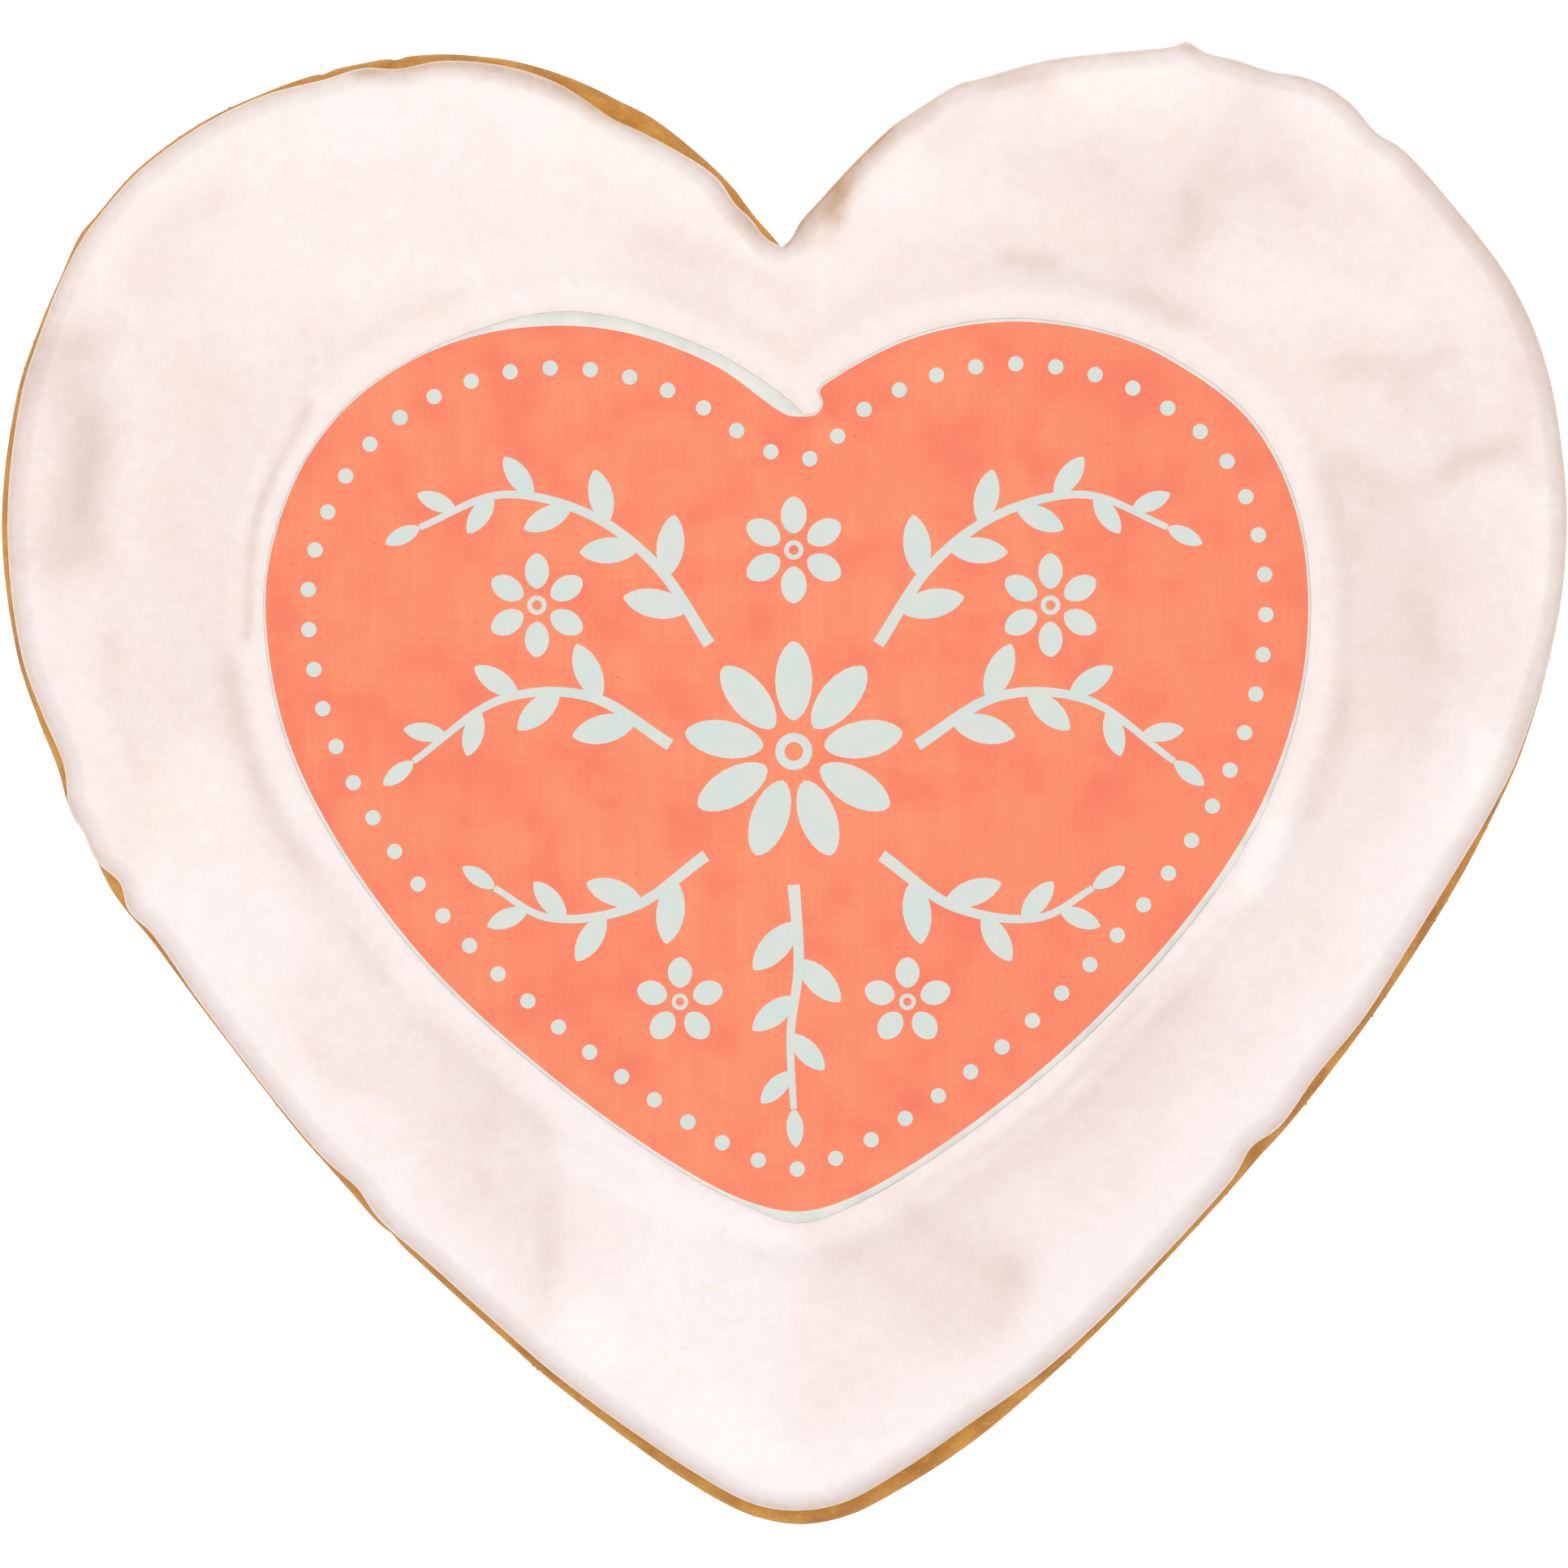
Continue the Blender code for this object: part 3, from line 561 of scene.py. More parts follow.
def brushed(x, y, strokes):
    """Sum of soft strokes at each place.

    The places are shifted first, by more for a wider stroke, so that no stroke is straight or even.
    """
    total = np.zeros(np.shape(x))
    shift_x = waves(x, y, *STROKE_WAVES, SEED + 3)
    shift_y = waves(x, y, *STROKE_WAVES, SEED + 4)
    for half_width, strength, *points in strokes:
        line = np.reshape(points, (-1, 2))
        if len(line) > 2:
            line = spline(line, STROKE_STEPS)
        away = distance_to_line(x + half_width * shift_x, y + half_width * shift_y, line)
        total += strength * bell(away, half_width)
    return total


def icing_height(x, y, paper_edge, icing_edge, relief):
    """Height of the icing's open surface: waves, a ridge round the paper, a bead at the rim, strokes."""
    z = ICING_TOP + waves(x, y, *SLOW_WAVES) + waves(x, y, *QUICK_WAVES)
    z += RIDGE_RISE * bell(distance_to_outline(x, y, paper_edge, PAPER_EVERY) - RIDGE_OUT, RIDGE_WIDE)
    z += BEAD_RISE * bell(distance_to_outline(x, y, icing_edge, RIM_EVERY) - BEAD_IN, BEAD_WIDE)
    return z + relief * brushed(x, y, STROKES)


def paper_top(x, y):
    """Height of the sugar paper's printed face, which follows the slow waves of the icing."""
    return ICING_TOP + PAPER_LEVEL + waves(x, y, *SLOW_WAVES)


def shoulder(clear):
    """Inset from the rim and height along the biscuit's shoulder, moved out square to it."""
    angle = np.linspace(0.0, math.pi / 2, SHOULDER_STEPS)
    inset = SHOULDER_IN * (1 - np.cos(angle))
    height = BISCUIT_TOP - SHOULDER_DOWN * (1 - np.sin(angle))
    square = np.column_stack([np.cos(angle) / SHOULDER_IN, np.sin(angle) / SHOULDER_DOWN])
    square /= np.linalg.norm(square, axis=1)[:, None]
    return inset - clear * square[:, 0], height + clear * square[:, 1]


def ring(base, direction, inset, height):
    """One ring of points: the base moved inwards, at a height. Inset and height may vary along it."""
    inset, height = (np.broadcast_to(value, len(base)) for value in (inset, height))
    return np.column_stack([base + direction * inset[:, None], height])


def band(low, high, count):
    """Faces between two rings of vertices, given by the numbers of their first ones."""
    here = np.arange(count)
    after = (here + 1) % count
    return np.column_stack([low + here, low + after, high + after, high + here]).tolist()


def skin(rings, low_centre, high_centre):
    """Vertices and faces of a closed body through rings of as many points, from underside to top."""
    count = len(rings[0])
    vertices = np.vstack(rings + [[low_centre], [high_centre]]) * MM
    here = np.arange(count)
    after = (here + 1) % count
    low = np.full(count, len(vertices) - 2)
    top = (len(rings) - 1) * count
    faces = np.column_stack([low, after, here]).tolist()
    for k in range(len(rings) - 1):
        faces += band(k * count, (k + 1) * count, count)
    faces += np.column_stack([top + here, top + after, low + 1]).tolist()
    return vertices, faces


def link(name, data):
    """Object of some data, in the scene."""
    thing = bpy.data.objects.new(name, data)
    bpy.context.scene.collection.objects.link(thing)
    return thing


def make_object(name, vertices, faces, *materials):
    """Named object with its place in its mesh, shaded smooth."""
    mesh = bpy.data.meshes.new(name)
    mesh.from_pydata(vertices.tolist(), [], faces)
    mesh.validate()
    mesh.shade_smooth()
    for material in materials:
        mesh.materials.append(material)
    return link(name, mesh)


def set_attribute(thing, name, values):
    """Gives each vertex a number that a material or a node tree reads by name."""
    attribute = thing.data.attributes.new(name, "FLOAT", "POINT")
    attribute.data.foreach_set("value", np.asarray(values, np.float32))


def add(tree, kind, feeds=None, out=0, **settings):
    """Adds a node with its settings and what feeds its inputs: values or other nodes' outputs.

    It gives one output, by its name or number, or all of them where out is None.
    """
    made = tree.nodes.new(kind)
    for name, value in settings.items():
        setattr(made, name, value)
    for key, value in (feeds or {}).items():
        for source in value if isinstance(value, list) else [value]:
            if isinstance(source, bpy.types.NodeSocket):
                tree.links.new(source, made.inputs[key])
            else:
                made.inputs[key].default_value = source
    return made.outputs[out] if made.outputs and out is not None else made.outputs


def per(millimetres):
    """Scale of a noise texture whose grains are that large."""
    return 1.0 / (millimetres * MM)


def opaque(colour):
    """Colour with the alpha that a colour socket wants."""
    return (*colour[:3], 1.0)


def start_material(name, finish):
    """A new material with its finish: itself, its node tree, its shader's inputs and Object coordinates."""
    material = bpy.data.materials.new(name)
    material.use_nodes = True
    tree = material.node_tree
    shader = tree.nodes["Principled BSDF"].inputs
    for socket, value in finish.items():
        shader[socket].default_value = value
    return material, tree, shader, add(tree, "ShaderNodeTexCoord", out="Object")


def layered(tree, colour, *layers):
    """A colour under further layers, each a factor and a colour, as one output."""
    colour = opaque(colour)
    for factor, over in layers:
        colour = add(tree, "ShaderNodeMix", {
            MIX_FACTOR: factor, MIX_FIRST: colour, MIX_SECOND: opaque(over),
        }, MIX_RESULT, data_type="RGBA")
    return colour


def surface(tree, shader, colour, height, strength, depth):
    """Gives a shader its colour and a relief whose depth is in millimetres."""
    bump = add(tree, "ShaderNodeBump", {"Strength": strength, "Distance": depth * MM, "Height": height})
    tree.links.new(bump, shader["Normal"])
    tree.links.new(colour, shader["Base Color"])


def baked_crust(settings):
    """Butter biscuit baked on a tray: matt, sandy and uneven brown, darker at the foot."""
    material, tree, shader, place = start_material("Baked butter biscuit", {
        "Roughness": 0.78, "IOR": 1.45, "Specular IOR Level": 0.3,
    })
    blotch = add(tree, NOISE, {"Vector": place, "Scale": per(2.6), "Detail": 4.0})
    sand = add(tree, NOISE, {"Vector": place, "Scale": per(0.35), "Detail": 3.0})
    grain = add(tree, "ShaderNodeTexVoronoi", {"Vector": place, "Scale": per(0.45)})
    tan = add(tree, RANGE, {"Value": blotch, "From Min": 0.35, "From Max": 0.68})
    pale = add(tree, RANGE, {"Value": sand, "From Min": 0.56, "From Max": 0.9})
    # Browning, with painted shade in the pores, read from an attribute
    browned_and_shaded = add(tree, "ShaderNodeAttribute", out="Fac", attribute_name="browning")
    colour = layered(
        tree, settings.mid, (tan, settings.dark), (pale, settings.pale), (browned_and_shaded, settings.dark),
    )
    rough = add(tree, MATH, {0: sand, 1: grain}, operation="ADD")
    surface(tree, shader, colour, rough, 0.8, 0.05)
    return material


def set_icing(settings):
    """Sugar icing, poured and left to set: satin, a little see-through, browner where it is thin."""
    material, tree, shader, place = start_material("Set sugar icing", {
        "Roughness": settings.roughness, "IOR": 1.47, "Subsurface Weight": 0.12,
        "Subsurface Radius": (1.0, 0.7, 0.55), "Subsurface Scale": 0.8 * MM,
    })
    cloud = add(tree, NOISE, {"Vector": place, "Scale": per(7.0), "Detail": 3.0})
    fine = add(tree, NOISE, {"Vector": place, "Scale": per(1.0), "Detail": 6.0, "Roughness": 0.85})
    both = add(tree, MATH, {0: cloud, 1: fine}, operation="MULTIPLY")
    upper = add(tree, RANGE, {
        "Value": add(tree, "ShaderNodeSeparateXYZ", {0: place}, "Y"),
        "From Min": -30.0 * MM, "From Max": 14.0 * MM, "To Min": 0.35, "To Max": 0.1,
    })
    creamy = add(tree, RANGE, {"Value": both, "From Min": upper, "From Max": 0.38})
    # Painted shade and highlight of the relief, partly thinner icing, read from an attribute
    hollow = add(tree, "ShaderNodeAttribute", out="Fac", attribute_name="hollow")
    thin = add(tree, "ShaderNodeAttribute", out="Fac", attribute_name="thin")
    sugar, grain = (
        add(tree, RANGE, {"Value": fine, "From Min": 0.3, "From Max": 0.7, "To Min": least, "To Max": most})
        for least, most in ((-0.15, 0.15), (0.75, 1.25))
    )
    shade_with_grain = add(tree, MATH, {0: hollow, 1: sugar}, operation="ADD", use_clamp=True)
    patch = add(tree, MATH, {0: thin, 1: grain}, operation="MULTIPLY")
    colour = layered(
        tree, settings.main, (creamy, settings.creamy), (shade_with_grain, settings.hollow), (patch, settings.through),
    )
    dimple = add(tree, NOISE, {"Vector": place, "Scale": per(1.4), "Detail": 3.0})
    surface(tree, shader, colour, dimple, 0.6, 0.02)
    return material


def paper_weave(tree, place):
    """The weave that a sheet of sugar paper keeps from its backing, two threads a millimetre."""
    threads = [
        add(tree, "ShaderNodeTexWave", {
            "Vector": place, "Scale": math.tau * per(0.5) / WAVE_RADIANS, "Distortion": 3.0, "Detail": 3.0,
        }, "Fac", bands_direction=direction)
        for direction in "XY"
    ]
    return add(tree, MATH, dict(enumerate(threads)), operation="ADD")


def printed_paper(settings):
    """Sugar paper under food ink: matt coral in faint streaks, mottled where the ink pooled, with dust."""
    material, tree, shader, place = start_material("Printed sugar paper", PAPER_FINISH)
    pool = add(tree, NOISE, {"Vector": place, "Scale": per(3.2), "Detail": 5.0})
    drawn = add(tree, "ShaderNodeMapping", {"Vector": place, "Scale": (1.0, 0.12, 1.0)})
    spread = add(tree, NOISE, {"Vector": drawn, "Scale": per(0.7), "Detail": 4.0})
    dust = add(tree, "ShaderNodeTexVoronoi", {"Vector": place, "Scale": per(1.5)})
    weave = paper_weave(tree, place)
    flush = add(tree, "ShaderNodeAttribute", out="Fac", attribute_name="flush")
    warm, pooled, speck, thread = (
        add(tree, RANGE, {
            "Value": value, "From Min": start, "From Max": end, "To Min": least, "To Max": most,
        })
        for value, start, end, least, most in (
            (spread, 0.25, 0.85, 0.0, 1.0), (pool, 0.44, 0.74, 0.0, 0.8),
            (dust, 0.022, 0.045, 0.75, 0.0), (weave, 0.4, 1.8, 0.2, 0.0),
        )
    )
    colour = layered(
        tree, settings.field, (warm, settings.warm), (pooled, settings.flush), (flush, settings.flush),
        (speck, settings.speck), (thread, settings.flush),
    )
    surface(tree, shader, colour, weave, *WEAVE_RELIEF)
    return material


def pale_paper(name, first, second):
    """Pale sugar paper or pale ink on it: matt, with faint clouds of a bluer tint."""
    material, tree, shader, place = start_material(name, PAPER_FINISH)
    cloud = add(tree, NOISE, {"Vector": place, "Scale": per(2.2), "Detail": 4.0})
    blue = add(tree, RANGE, {"Value": cloud, "From Min": 0.4, "From Max": 0.7})
    surface(tree, shader, layered(tree, first, (blue, second)), paper_weave(tree, place), *WEAVE_RELIEF)
    return material


def crumb_relief(points):
    """Relief of the baked crumb at each point, about -1 to 1: coarse lumps, finer grit and open pores."""
    total = np.empty(len(points))
    for k, (x, y, z) in enumerate(points):
        lump = noise.noise(Vector((x, y, z)) / CRUMB_LUMP)
        grit = noise.noise(Vector((x + NOISE_APART, y, z)) / CRUMB_GRIT)
        pore = noise.noise(Vector((x, y + NOISE_APART, z)) / CRUMB_PORE)
        total[k] = 0.5 * lump + 0.5 * grit - PORE_DEPTH * max(0.0, pore - PORE_FROM)
    return total


def biscuit_section():
    """Section of the biscuit as inset, height, outward and upward share of the relief, and its strength."""
    section = [(UNDERSIDE_IN, 0.0, 0.0, -1.0, 0.0)]
    for angle in np.radians(np.linspace(0.0, 90.0, FOOT_RINGS)):
        section.append((FOOT_IN * (1 - math.sin(angle)), FOOT_UP * (1 - math.cos(angle)),
                        math.sin(angle), -math.cos(angle), math.sin(angle)))
    for height in np.linspace(FOOT_UP, WALL_TOP, WALL_RINGS)[1:-1]:
        section.append((0.0, height, 1.0, 0.0, 1.0))
    for angle in np.radians(np.linspace(0.0, 90.0, SHOULDER_RINGS)):
        down = SHOULDER_DOWN * (1 - math.sin(angle))
        section.append((SHOULDER_IN * (1 - math.cos(angle)), BISCUIT_TOP - down,
                        math.cos(angle), math.sin(angle), 1.0))
    return section


def bake_heart(settings):
    """The baked heart: flat underside, rounded foot, sheared wall, shoulder and the top under the icing."""
    _, base, direction, edge_in = rim_columns()
    section = biscuit_section()
    covered_from = edge_in + LIP_THICK
    underside = ring(base, direction, UNDERSIDE_IN, 0.0)
    rings = [underside * share for share in UNDERSIDE_SHARES]
    browning = [np.full(len(base), share * UNDERSIDE_BROWN) for share in UNDERSIDE_SHARES]
    for inset, height, out, up, rough in section:
        rows = ring(base, direction, inset, height)
        shown = 1.0
        if height > WALL_TOP:
            shown = np.clip((covered_from + OPEN_FADE - inset) / OPEN_FADE, 0.0, 1.0)
        depth = settings.grit / MM * rough * shown * crumb_relief(rows)
        for (px, py), half_width, pit in PITS:
            near = np.hypot(rows[:, 0] - px, rows[:, 1] - py)
            depth = depth - pit * shown * rough * bell(near, half_width)
        rows[:, :2] -= direction * (depth * out)[:, None]
        rows[:, 2] = np.maximum(rows[:, 2] + depth * up, 0.0)
        rings.append(rows)
        # Browning at the foot, and painted shade: darker where the crumb, its pores and pits are sunk
        brown = FOOT_BROWN * bell(height, FOOT_BROWN_UP) - PORE_SHADE * np.minimum(depth, 0.0)
        browning.append(np.clip(brown, 0.0, 1.0))
    vertices, faces = skin(rings, (0.0, 0.0, 0.0), (0.0, 0.0, BISCUIT_TOP))
    thing = make_object("baked_heart", vertices, faces, baked_crust(settings))
    set_attribute(thing, "browning", np.concatenate(browning + [[0.1, 0.0]]))
    insets = [SHOULDER_IN] * len(UNDERSIDE_SHARES) + [row[0] for row in section]
    far_in = np.append(np.repeat(insets, len(base)), [FAR_IN, FAR_IN])
    covered = np.append(np.tile(covered_from, len(rings)), [0.0, 0.0])
    set_attribute(thing, "open_wall", (far_in < covered) & (vertices[:, 2] / MM > CRUMBS_ABOVE))
    return thing


def start_tree(name, inputs, output):
    """A new Geometry Nodes tree with its sockets: itself, and what its inputs give."""
    tree = bpy.data.node_groups.new(name, "GeometryNodeTree")
    for kind, names in inputs.items():
        for socket in names:
            tree.interface.new_socket(name=socket, in_out="INPUT", socket_type="NodeSocket" + kind)
    tree.interface.new_socket(name=output, in_out="OUTPUT", socket_type="NodeSocketGeometry")
    return tree, add(tree, "NodeGroupInput", out=None)


def end_tree(tree, geometry, material, output):
    """Makes a tree's instances real, gives them their material and hands them out."""
    whole = add(tree, "GeometryNodeRealizeInstances", {"Geometry": geometry})
    coloured = add(tree, "GeometryNodeSetMaterial", {"Geometry": whole, "Material": material})
    add(tree, "NodeGroupOutput", {output: coloured})
    return tree


def crumb_tree(material):
    """Scatters small uneven crumbs over the part of a surface that its open_wall attribute marks."""
    tree, given = start_tree("Crumbs on a surface", {
        "Geometry": ["Surface"], "Float": ["Density", "Crumb radius"],
    }, "Crumbs")
    wall = add(tree, "GeometryNodeInputNamedAttribute", {"Name": "open_wall"}, "Attribute", data_type="FLOAT")
    density = add(tree, MATH, {0: given["Density"], 1: wall}, operation="MULTIPLY")
    places = add(tree, "GeometryNodeDistributePointsOnFaces", {
        "Mesh": given["Surface"], "Density": density, "Seed": SEED,
    })
    ball = add(tree, "GeometryNodeMeshIcoSphere", {"Radius": given["Crumb radius"], "Subdivisions": 2})
    dent = add(tree, NOISE, {"Scale": per(CRUMB_DENT)}, "Color")
    shift = add(tree, "ShaderNodeVectorMath", {0: dent, 1: (0.5, 0.5, 0.5)}, operation="SUBTRACT")
    reach = add(tree, "ShaderNodeVectorMath", {0: shift, "Scale": CRUMB_DENT_DEEP * MM}, operation="SCALE")
    lump = add(tree, "GeometryNodeSetPosition", {"Geometry": ball, "Offset": reach})
    least, most = CRUMB_SIZES
    size = add(tree, "FunctionNodeRandomValue", {2: least, 3: most, "Seed": SEED + 1}, 1, data_type="FLOAT")
    spin = add(tree, "FunctionNodeRandomValue", {0: (0.0, 0.0, 0.0), 1: (math.tau,) * 3, "Seed": SEED + 2},
               data_type="FLOAT_VECTOR")
    strewn = add(tree, "GeometryNodeInstanceOnPoints", {
        "Points": places, "Instance": lump, "Rotation": spin, "Scale": size,
    })
    return end_tree(tree, strewn, material, "Crumbs")


def leaf_shape(tree, given):
    """A disc one metre across and one metre thick, pulled into a leaf with its root at the path."""
    disc = add(tree, "GeometryNodeMeshCylinder", {"Vertices": LEAF_SIDES, "Radius": 0.5, "Depth": 1.0},
               fill_type="NGON")
    split = add(tree, "ShaderNodeSeparateXYZ", {0: add(tree, "GeometryNodeInputPosition")}, None)
    half_root = add(tree, MATH, {0: given["Rooted"], 1: 0.5, 2: split["X"]}, operation="MULTIPLY_ADD")
    spread = add(tree, MATH, {0: split["Y"], 1: 2.0}, operation="MULTIPLY")
    size = add(tree, MATH, {0: spread}, operation="ABSOLUTE")
    narrow = add(tree, MATH, {0: size, 1: given["Point"]}, operation="POWER")
    across = add(tree, MATH, {0: split["Y"], 1: narrow}, operation="MULTIPLY")
    shaped = add(tree, "ShaderNodeCombineXYZ", {"X": half_root, "Y": across, "Z": split["Z"]})
    return add(tree, "GeometryNodeSetPosition", {"Geometry": disc, "Position": shaped})


def leaf_facing(tree, given, along):
    """Turns each motif away from the path, to alternate sides where both are wanted, but the last ahead."""
    spot = add(tree, "ShaderNodeSeparateXYZ", {0: add(tree, "GeometryNodeInputPosition")}, "X")
    on_left = add(tree, "FunctionNodeCompare", {0: spot, 1: LEFT_SIDE * MM}, operation="LESS_THAN")
    turned = add(tree, MATH, {0: along["Index"], 1: on_left}, operation="ADD")
    parity = add(tree, MATH, {0: turned, 1: 2.0}, operation="MODULO")
    flip = add(tree, MATH, {0: parity, 1: given["Both sides"]}, operation="MULTIPLY")
    side = add(tree, MATH, {0: flip, 1: -2.0, 2: 1.0}, operation="MULTIPLY_ADD")
    turn = add(tree, MATH, {0: given["Turn"], 1: side}, operation="MULTIPLY")
    before_end = add(tree, "FunctionNodeCompare", {0: along["Factor"], 1: ALMOST_END}, operation="LESS_THAN")
    turn_now = add(tree, MATH, {0: turn, 1: before_end}, operation="MULTIPLY")
    ahead = add(tree, "FunctionNodeAlignRotationToVector", {
        "Vector": add(tree, "GeometryNodeInputTangent"),
    }, axis="X", pivot_axis="Z")
    swing = add(tree, "FunctionNodeAxisAngleToRotation", {"Axis": (0.0, 0.0, 1.0), "Angle": turn_now})
    return add(tree, "FunctionNodeRotateRotation", {"Rotation": ahead, "Rotate By": swing},
               rotation_space="LOCAL")


def motif_tree(material):
    """Flat motifs along a path: leaves on a stem, petals round an eye, or dots in a row."""
    tree, given = start_tree("Motifs along a path", {
        "Geometry": ["Path"],
        "Float": ["Step", "Length", "Width", "Thickness", "Turn", "Point", "Rooted", "Taper", "Stem width"],
        "Bool": ["Both sides", "Draw motifs", "Draw stem"],
        "Int": ["First"],
    }, "Motifs")
    line = add(tree, "GeometryNodeMeshToCurve", {"Mesh": given["Path"]})
    even = add(tree, "GeometryNodeResampleCurve", {"Curve": line, "Length": given["Step"]}, mode="LENGTH")
    along = add(tree, "GeometryNodeSplineParameter", out=None)
    chosen = add(tree, "FunctionNodeCompare", {2: along["Index"], 3: given["First"]},
                 data_type="INT", operation="GREATER_EQUAL")
    shrink = add(tree, MATH, {0: given["Taper"], 1: along["Factor"]}, operation="MULTIPLY")
    share = add(tree, MATH, {0: 1.0, 1: shrink}, operation="SUBTRACT")
    long, wide = (
        add(tree, MATH, {0: given[name], 1: share}, operation="MULTIPLY")
        for name in ("Length", "Width")
    )
    scale = add(tree, "ShaderNodeCombineXYZ", {"X": long, "Y": wide, "Z": given["Thickness"]})
    row = add(tree, "GeometryNodeInstanceOnPoints", {
        "Points": even, "Selection": chosen, "Instance": leaf_shape(tree, given),
        "Rotation": leaf_facing(tree, given, along), "Scale": scale,
    })
    upright = add(tree, "GeometryNodeSetCurveNormal", {"Curve": line}, mode="Z_UP")
    finer = add(tree, MATH, {0: share, 1: STEM_TAPER}, operation="POWER")
    over = add(tree, MATH, {0: given["Thickness"], 1: STEM_OVER_LEAF}, operation="MULTIPLY")
    section = add(tree, "GeometryNodeCurvePrimitiveQuadrilateral", {
        "Width": given["Stem width"], "Height": over,
    })
    stem = add(tree, "GeometryNodeCurveToMesh", {
        "Curve": upright, "Profile Curve": section, "Scale": finer, "Fill Caps": True,
    })
    shown = [
        add(tree, "GeometryNodeSwitch", {"Switch": given[name], "True": geometry}, input_type="GEOMETRY")
        for name, geometry in (("Draw motifs", row), ("Draw stem", stem))
    ]
    joined = add(tree, "GeometryNodeJoinGeometry", {"Geometry": shown})
    return end_tree(tree, joined, material, "Motifs")


def grow(source, tree, name, **values):
    """Plain mesh of what a node tree makes from a source object, as a new object."""
    modifier = source.modifiers.new(name, "NODES")
    modifier.node_group = tree
    for item in tree.interface.items_tree:
        key = item.name.lower().replace(" ", "_")
        if item.in_out == "INPUT" and key in values:
            modifier[item.identifier] = values[key]
    evaluated = source.evaluated_get(bpy.context.evaluated_depsgraph_get())
    mesh = bpy.data.meshes.new_from_object(evaluated)
    source.modifiers.remove(modifier)
    mesh.name = name
    return link(name, mesh)


def trace(paths, closed):
    """Helper object of joined points for each path, at height zero. It is removed once used."""
    vertices = []
    edges = []
    for path in paths:
        first = len(vertices)
        vertices += [(x * MM, y * MM, 0.0) for x, y in path]
        edges += [(first + k, first + k + 1) for k in range(len(path) - 1)]
        if closed:
            edges.append((len(vertices) - 1, first))
    mesh = bpy.data.meshes.new("traced path")
    mesh.from_pydata(vertices, edges, [])
    return link("traced path", mesh)


def print_motifs(name, paths, closed, tree, **values):
    """One printed piece: motifs and stems along the paths, laid on the paper's face, a hair proud of it."""
    helper = trace(paths, closed)
    thing = grow(helper, tree, name, thickness=INK_THICK * MM, **values)
    bpy.data.objects.remove(helper, do_unlink=True)
    mesh = thing.data
    places = np.empty(len(mesh.vertices) * 3)
    mesh.vertices.foreach_get("co", places)
    places = places.reshape(-1, 3)
    places[:, 0] += AXIS * MM
    rise = paper_top(places[:, 0] / MM, places[:, 1] / MM) - INK_THICK / 2 + INK_PROUD
    places[:, 2] += rise * MM
    mesh.vertices.foreach_set("co", places.ravel())
    mesh.shade_flat()
    mesh.update()
    return thing


def attach(thing, slot, *nodes):
    """Lets a finished piece ride on the part and stand for its nodes, whose parts it hides. The slot is not
    used.
    """
    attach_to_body(thing, BODY)
    if nodes:
        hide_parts(*nodes)


def skirt_low(outline, edge_in, path_in, path_up):
    """Height of the icing's lowest edge at each column: ragged where it hangs over the biscuit's wall."""
    low = np.interp(edge_in + LIP_THICK, path_in, path_up)
    reach = round(SKIRT_RAGGED_LONG / np.hypot(*np.diff(outline[:2], axis=0)[0]))
    weights = np.hanning(2 * reach + 1)
    draws = np.random.default_rng(SEED + 1).uniform(-1.0, 1.0, STEPS + 2 * reach)
    ragged = np.convolve(draws, weights / weights.sum() * RAGGED_GAIN, "valid")
    low = low - np.clip(-edge_in, 0.0, 1.0) * (SKIRT_DROP + SKIRT_RAGGED * ragged)
    return np.maximum(low, averaged(low, reach_of(outline, LIP_BLUR)))


def icing_looks(thing, places, edge_in, paper_edge, icing_edge):
    """Tells the icing's material where it is thin, and where shade and highlight of its relief are painted on
    it.
    """
    x, y, z = places.T
    from_edge = distance_to_outline(x, y, icing_edge, RIM_EVERY)
    thin = brushed(x, y, THIN_PATCHES) + THIN_AT_EDGE * bell(from_edge, THIN_EDGE_WIDE)
    on_top = np.clip((z - THIN_ABOVE) / THIN_FADE, THIN_LEAST, 1.0)
    ends_on_top = np.tile(np.clip(edge_in / OPEN_EDGE_IN, 0.0, 1.0), len(places) // STEPS)
    on_top = np.maximum(on_top, THIN_AT_OPEN_EDGE * np.append(ends_on_top, [1.0, 1.0]))
    set_attribute(thing, "thin", np.clip(thin * on_top, 0.0, 1.0))
    # Painted highlight along the rounded rim, where less shade is painted, and on the ridge round the paper
    inside = SHADE_INSIDE * np.clip((from_edge - SHADE_FROM) / SHADE_FADE, 0.0, 1.0)
    from_paper = distance_to_outline(x, y, paper_edge, PAPER_EVERY)
    on_ridge = bell(from_paper - RIDGE_HIGHLIGHT_OUT, RIDGE_HIGHLIGHT_WIDE)
    # Painted shade: even, plus the SHADES strokes, darker in the strokes' hollows and paler on their swells
    hollow = SHADE_EVEN + inside - RIDGE_HIGHLIGHT * on_ridge + brushed(x, y, SHADES)
    hollow -= SHADE_OF_RELIEF * brushed(x, y, STROKES)
    set_attribute(thing, "hollow", np.clip(hollow, 0.0, 1.0))


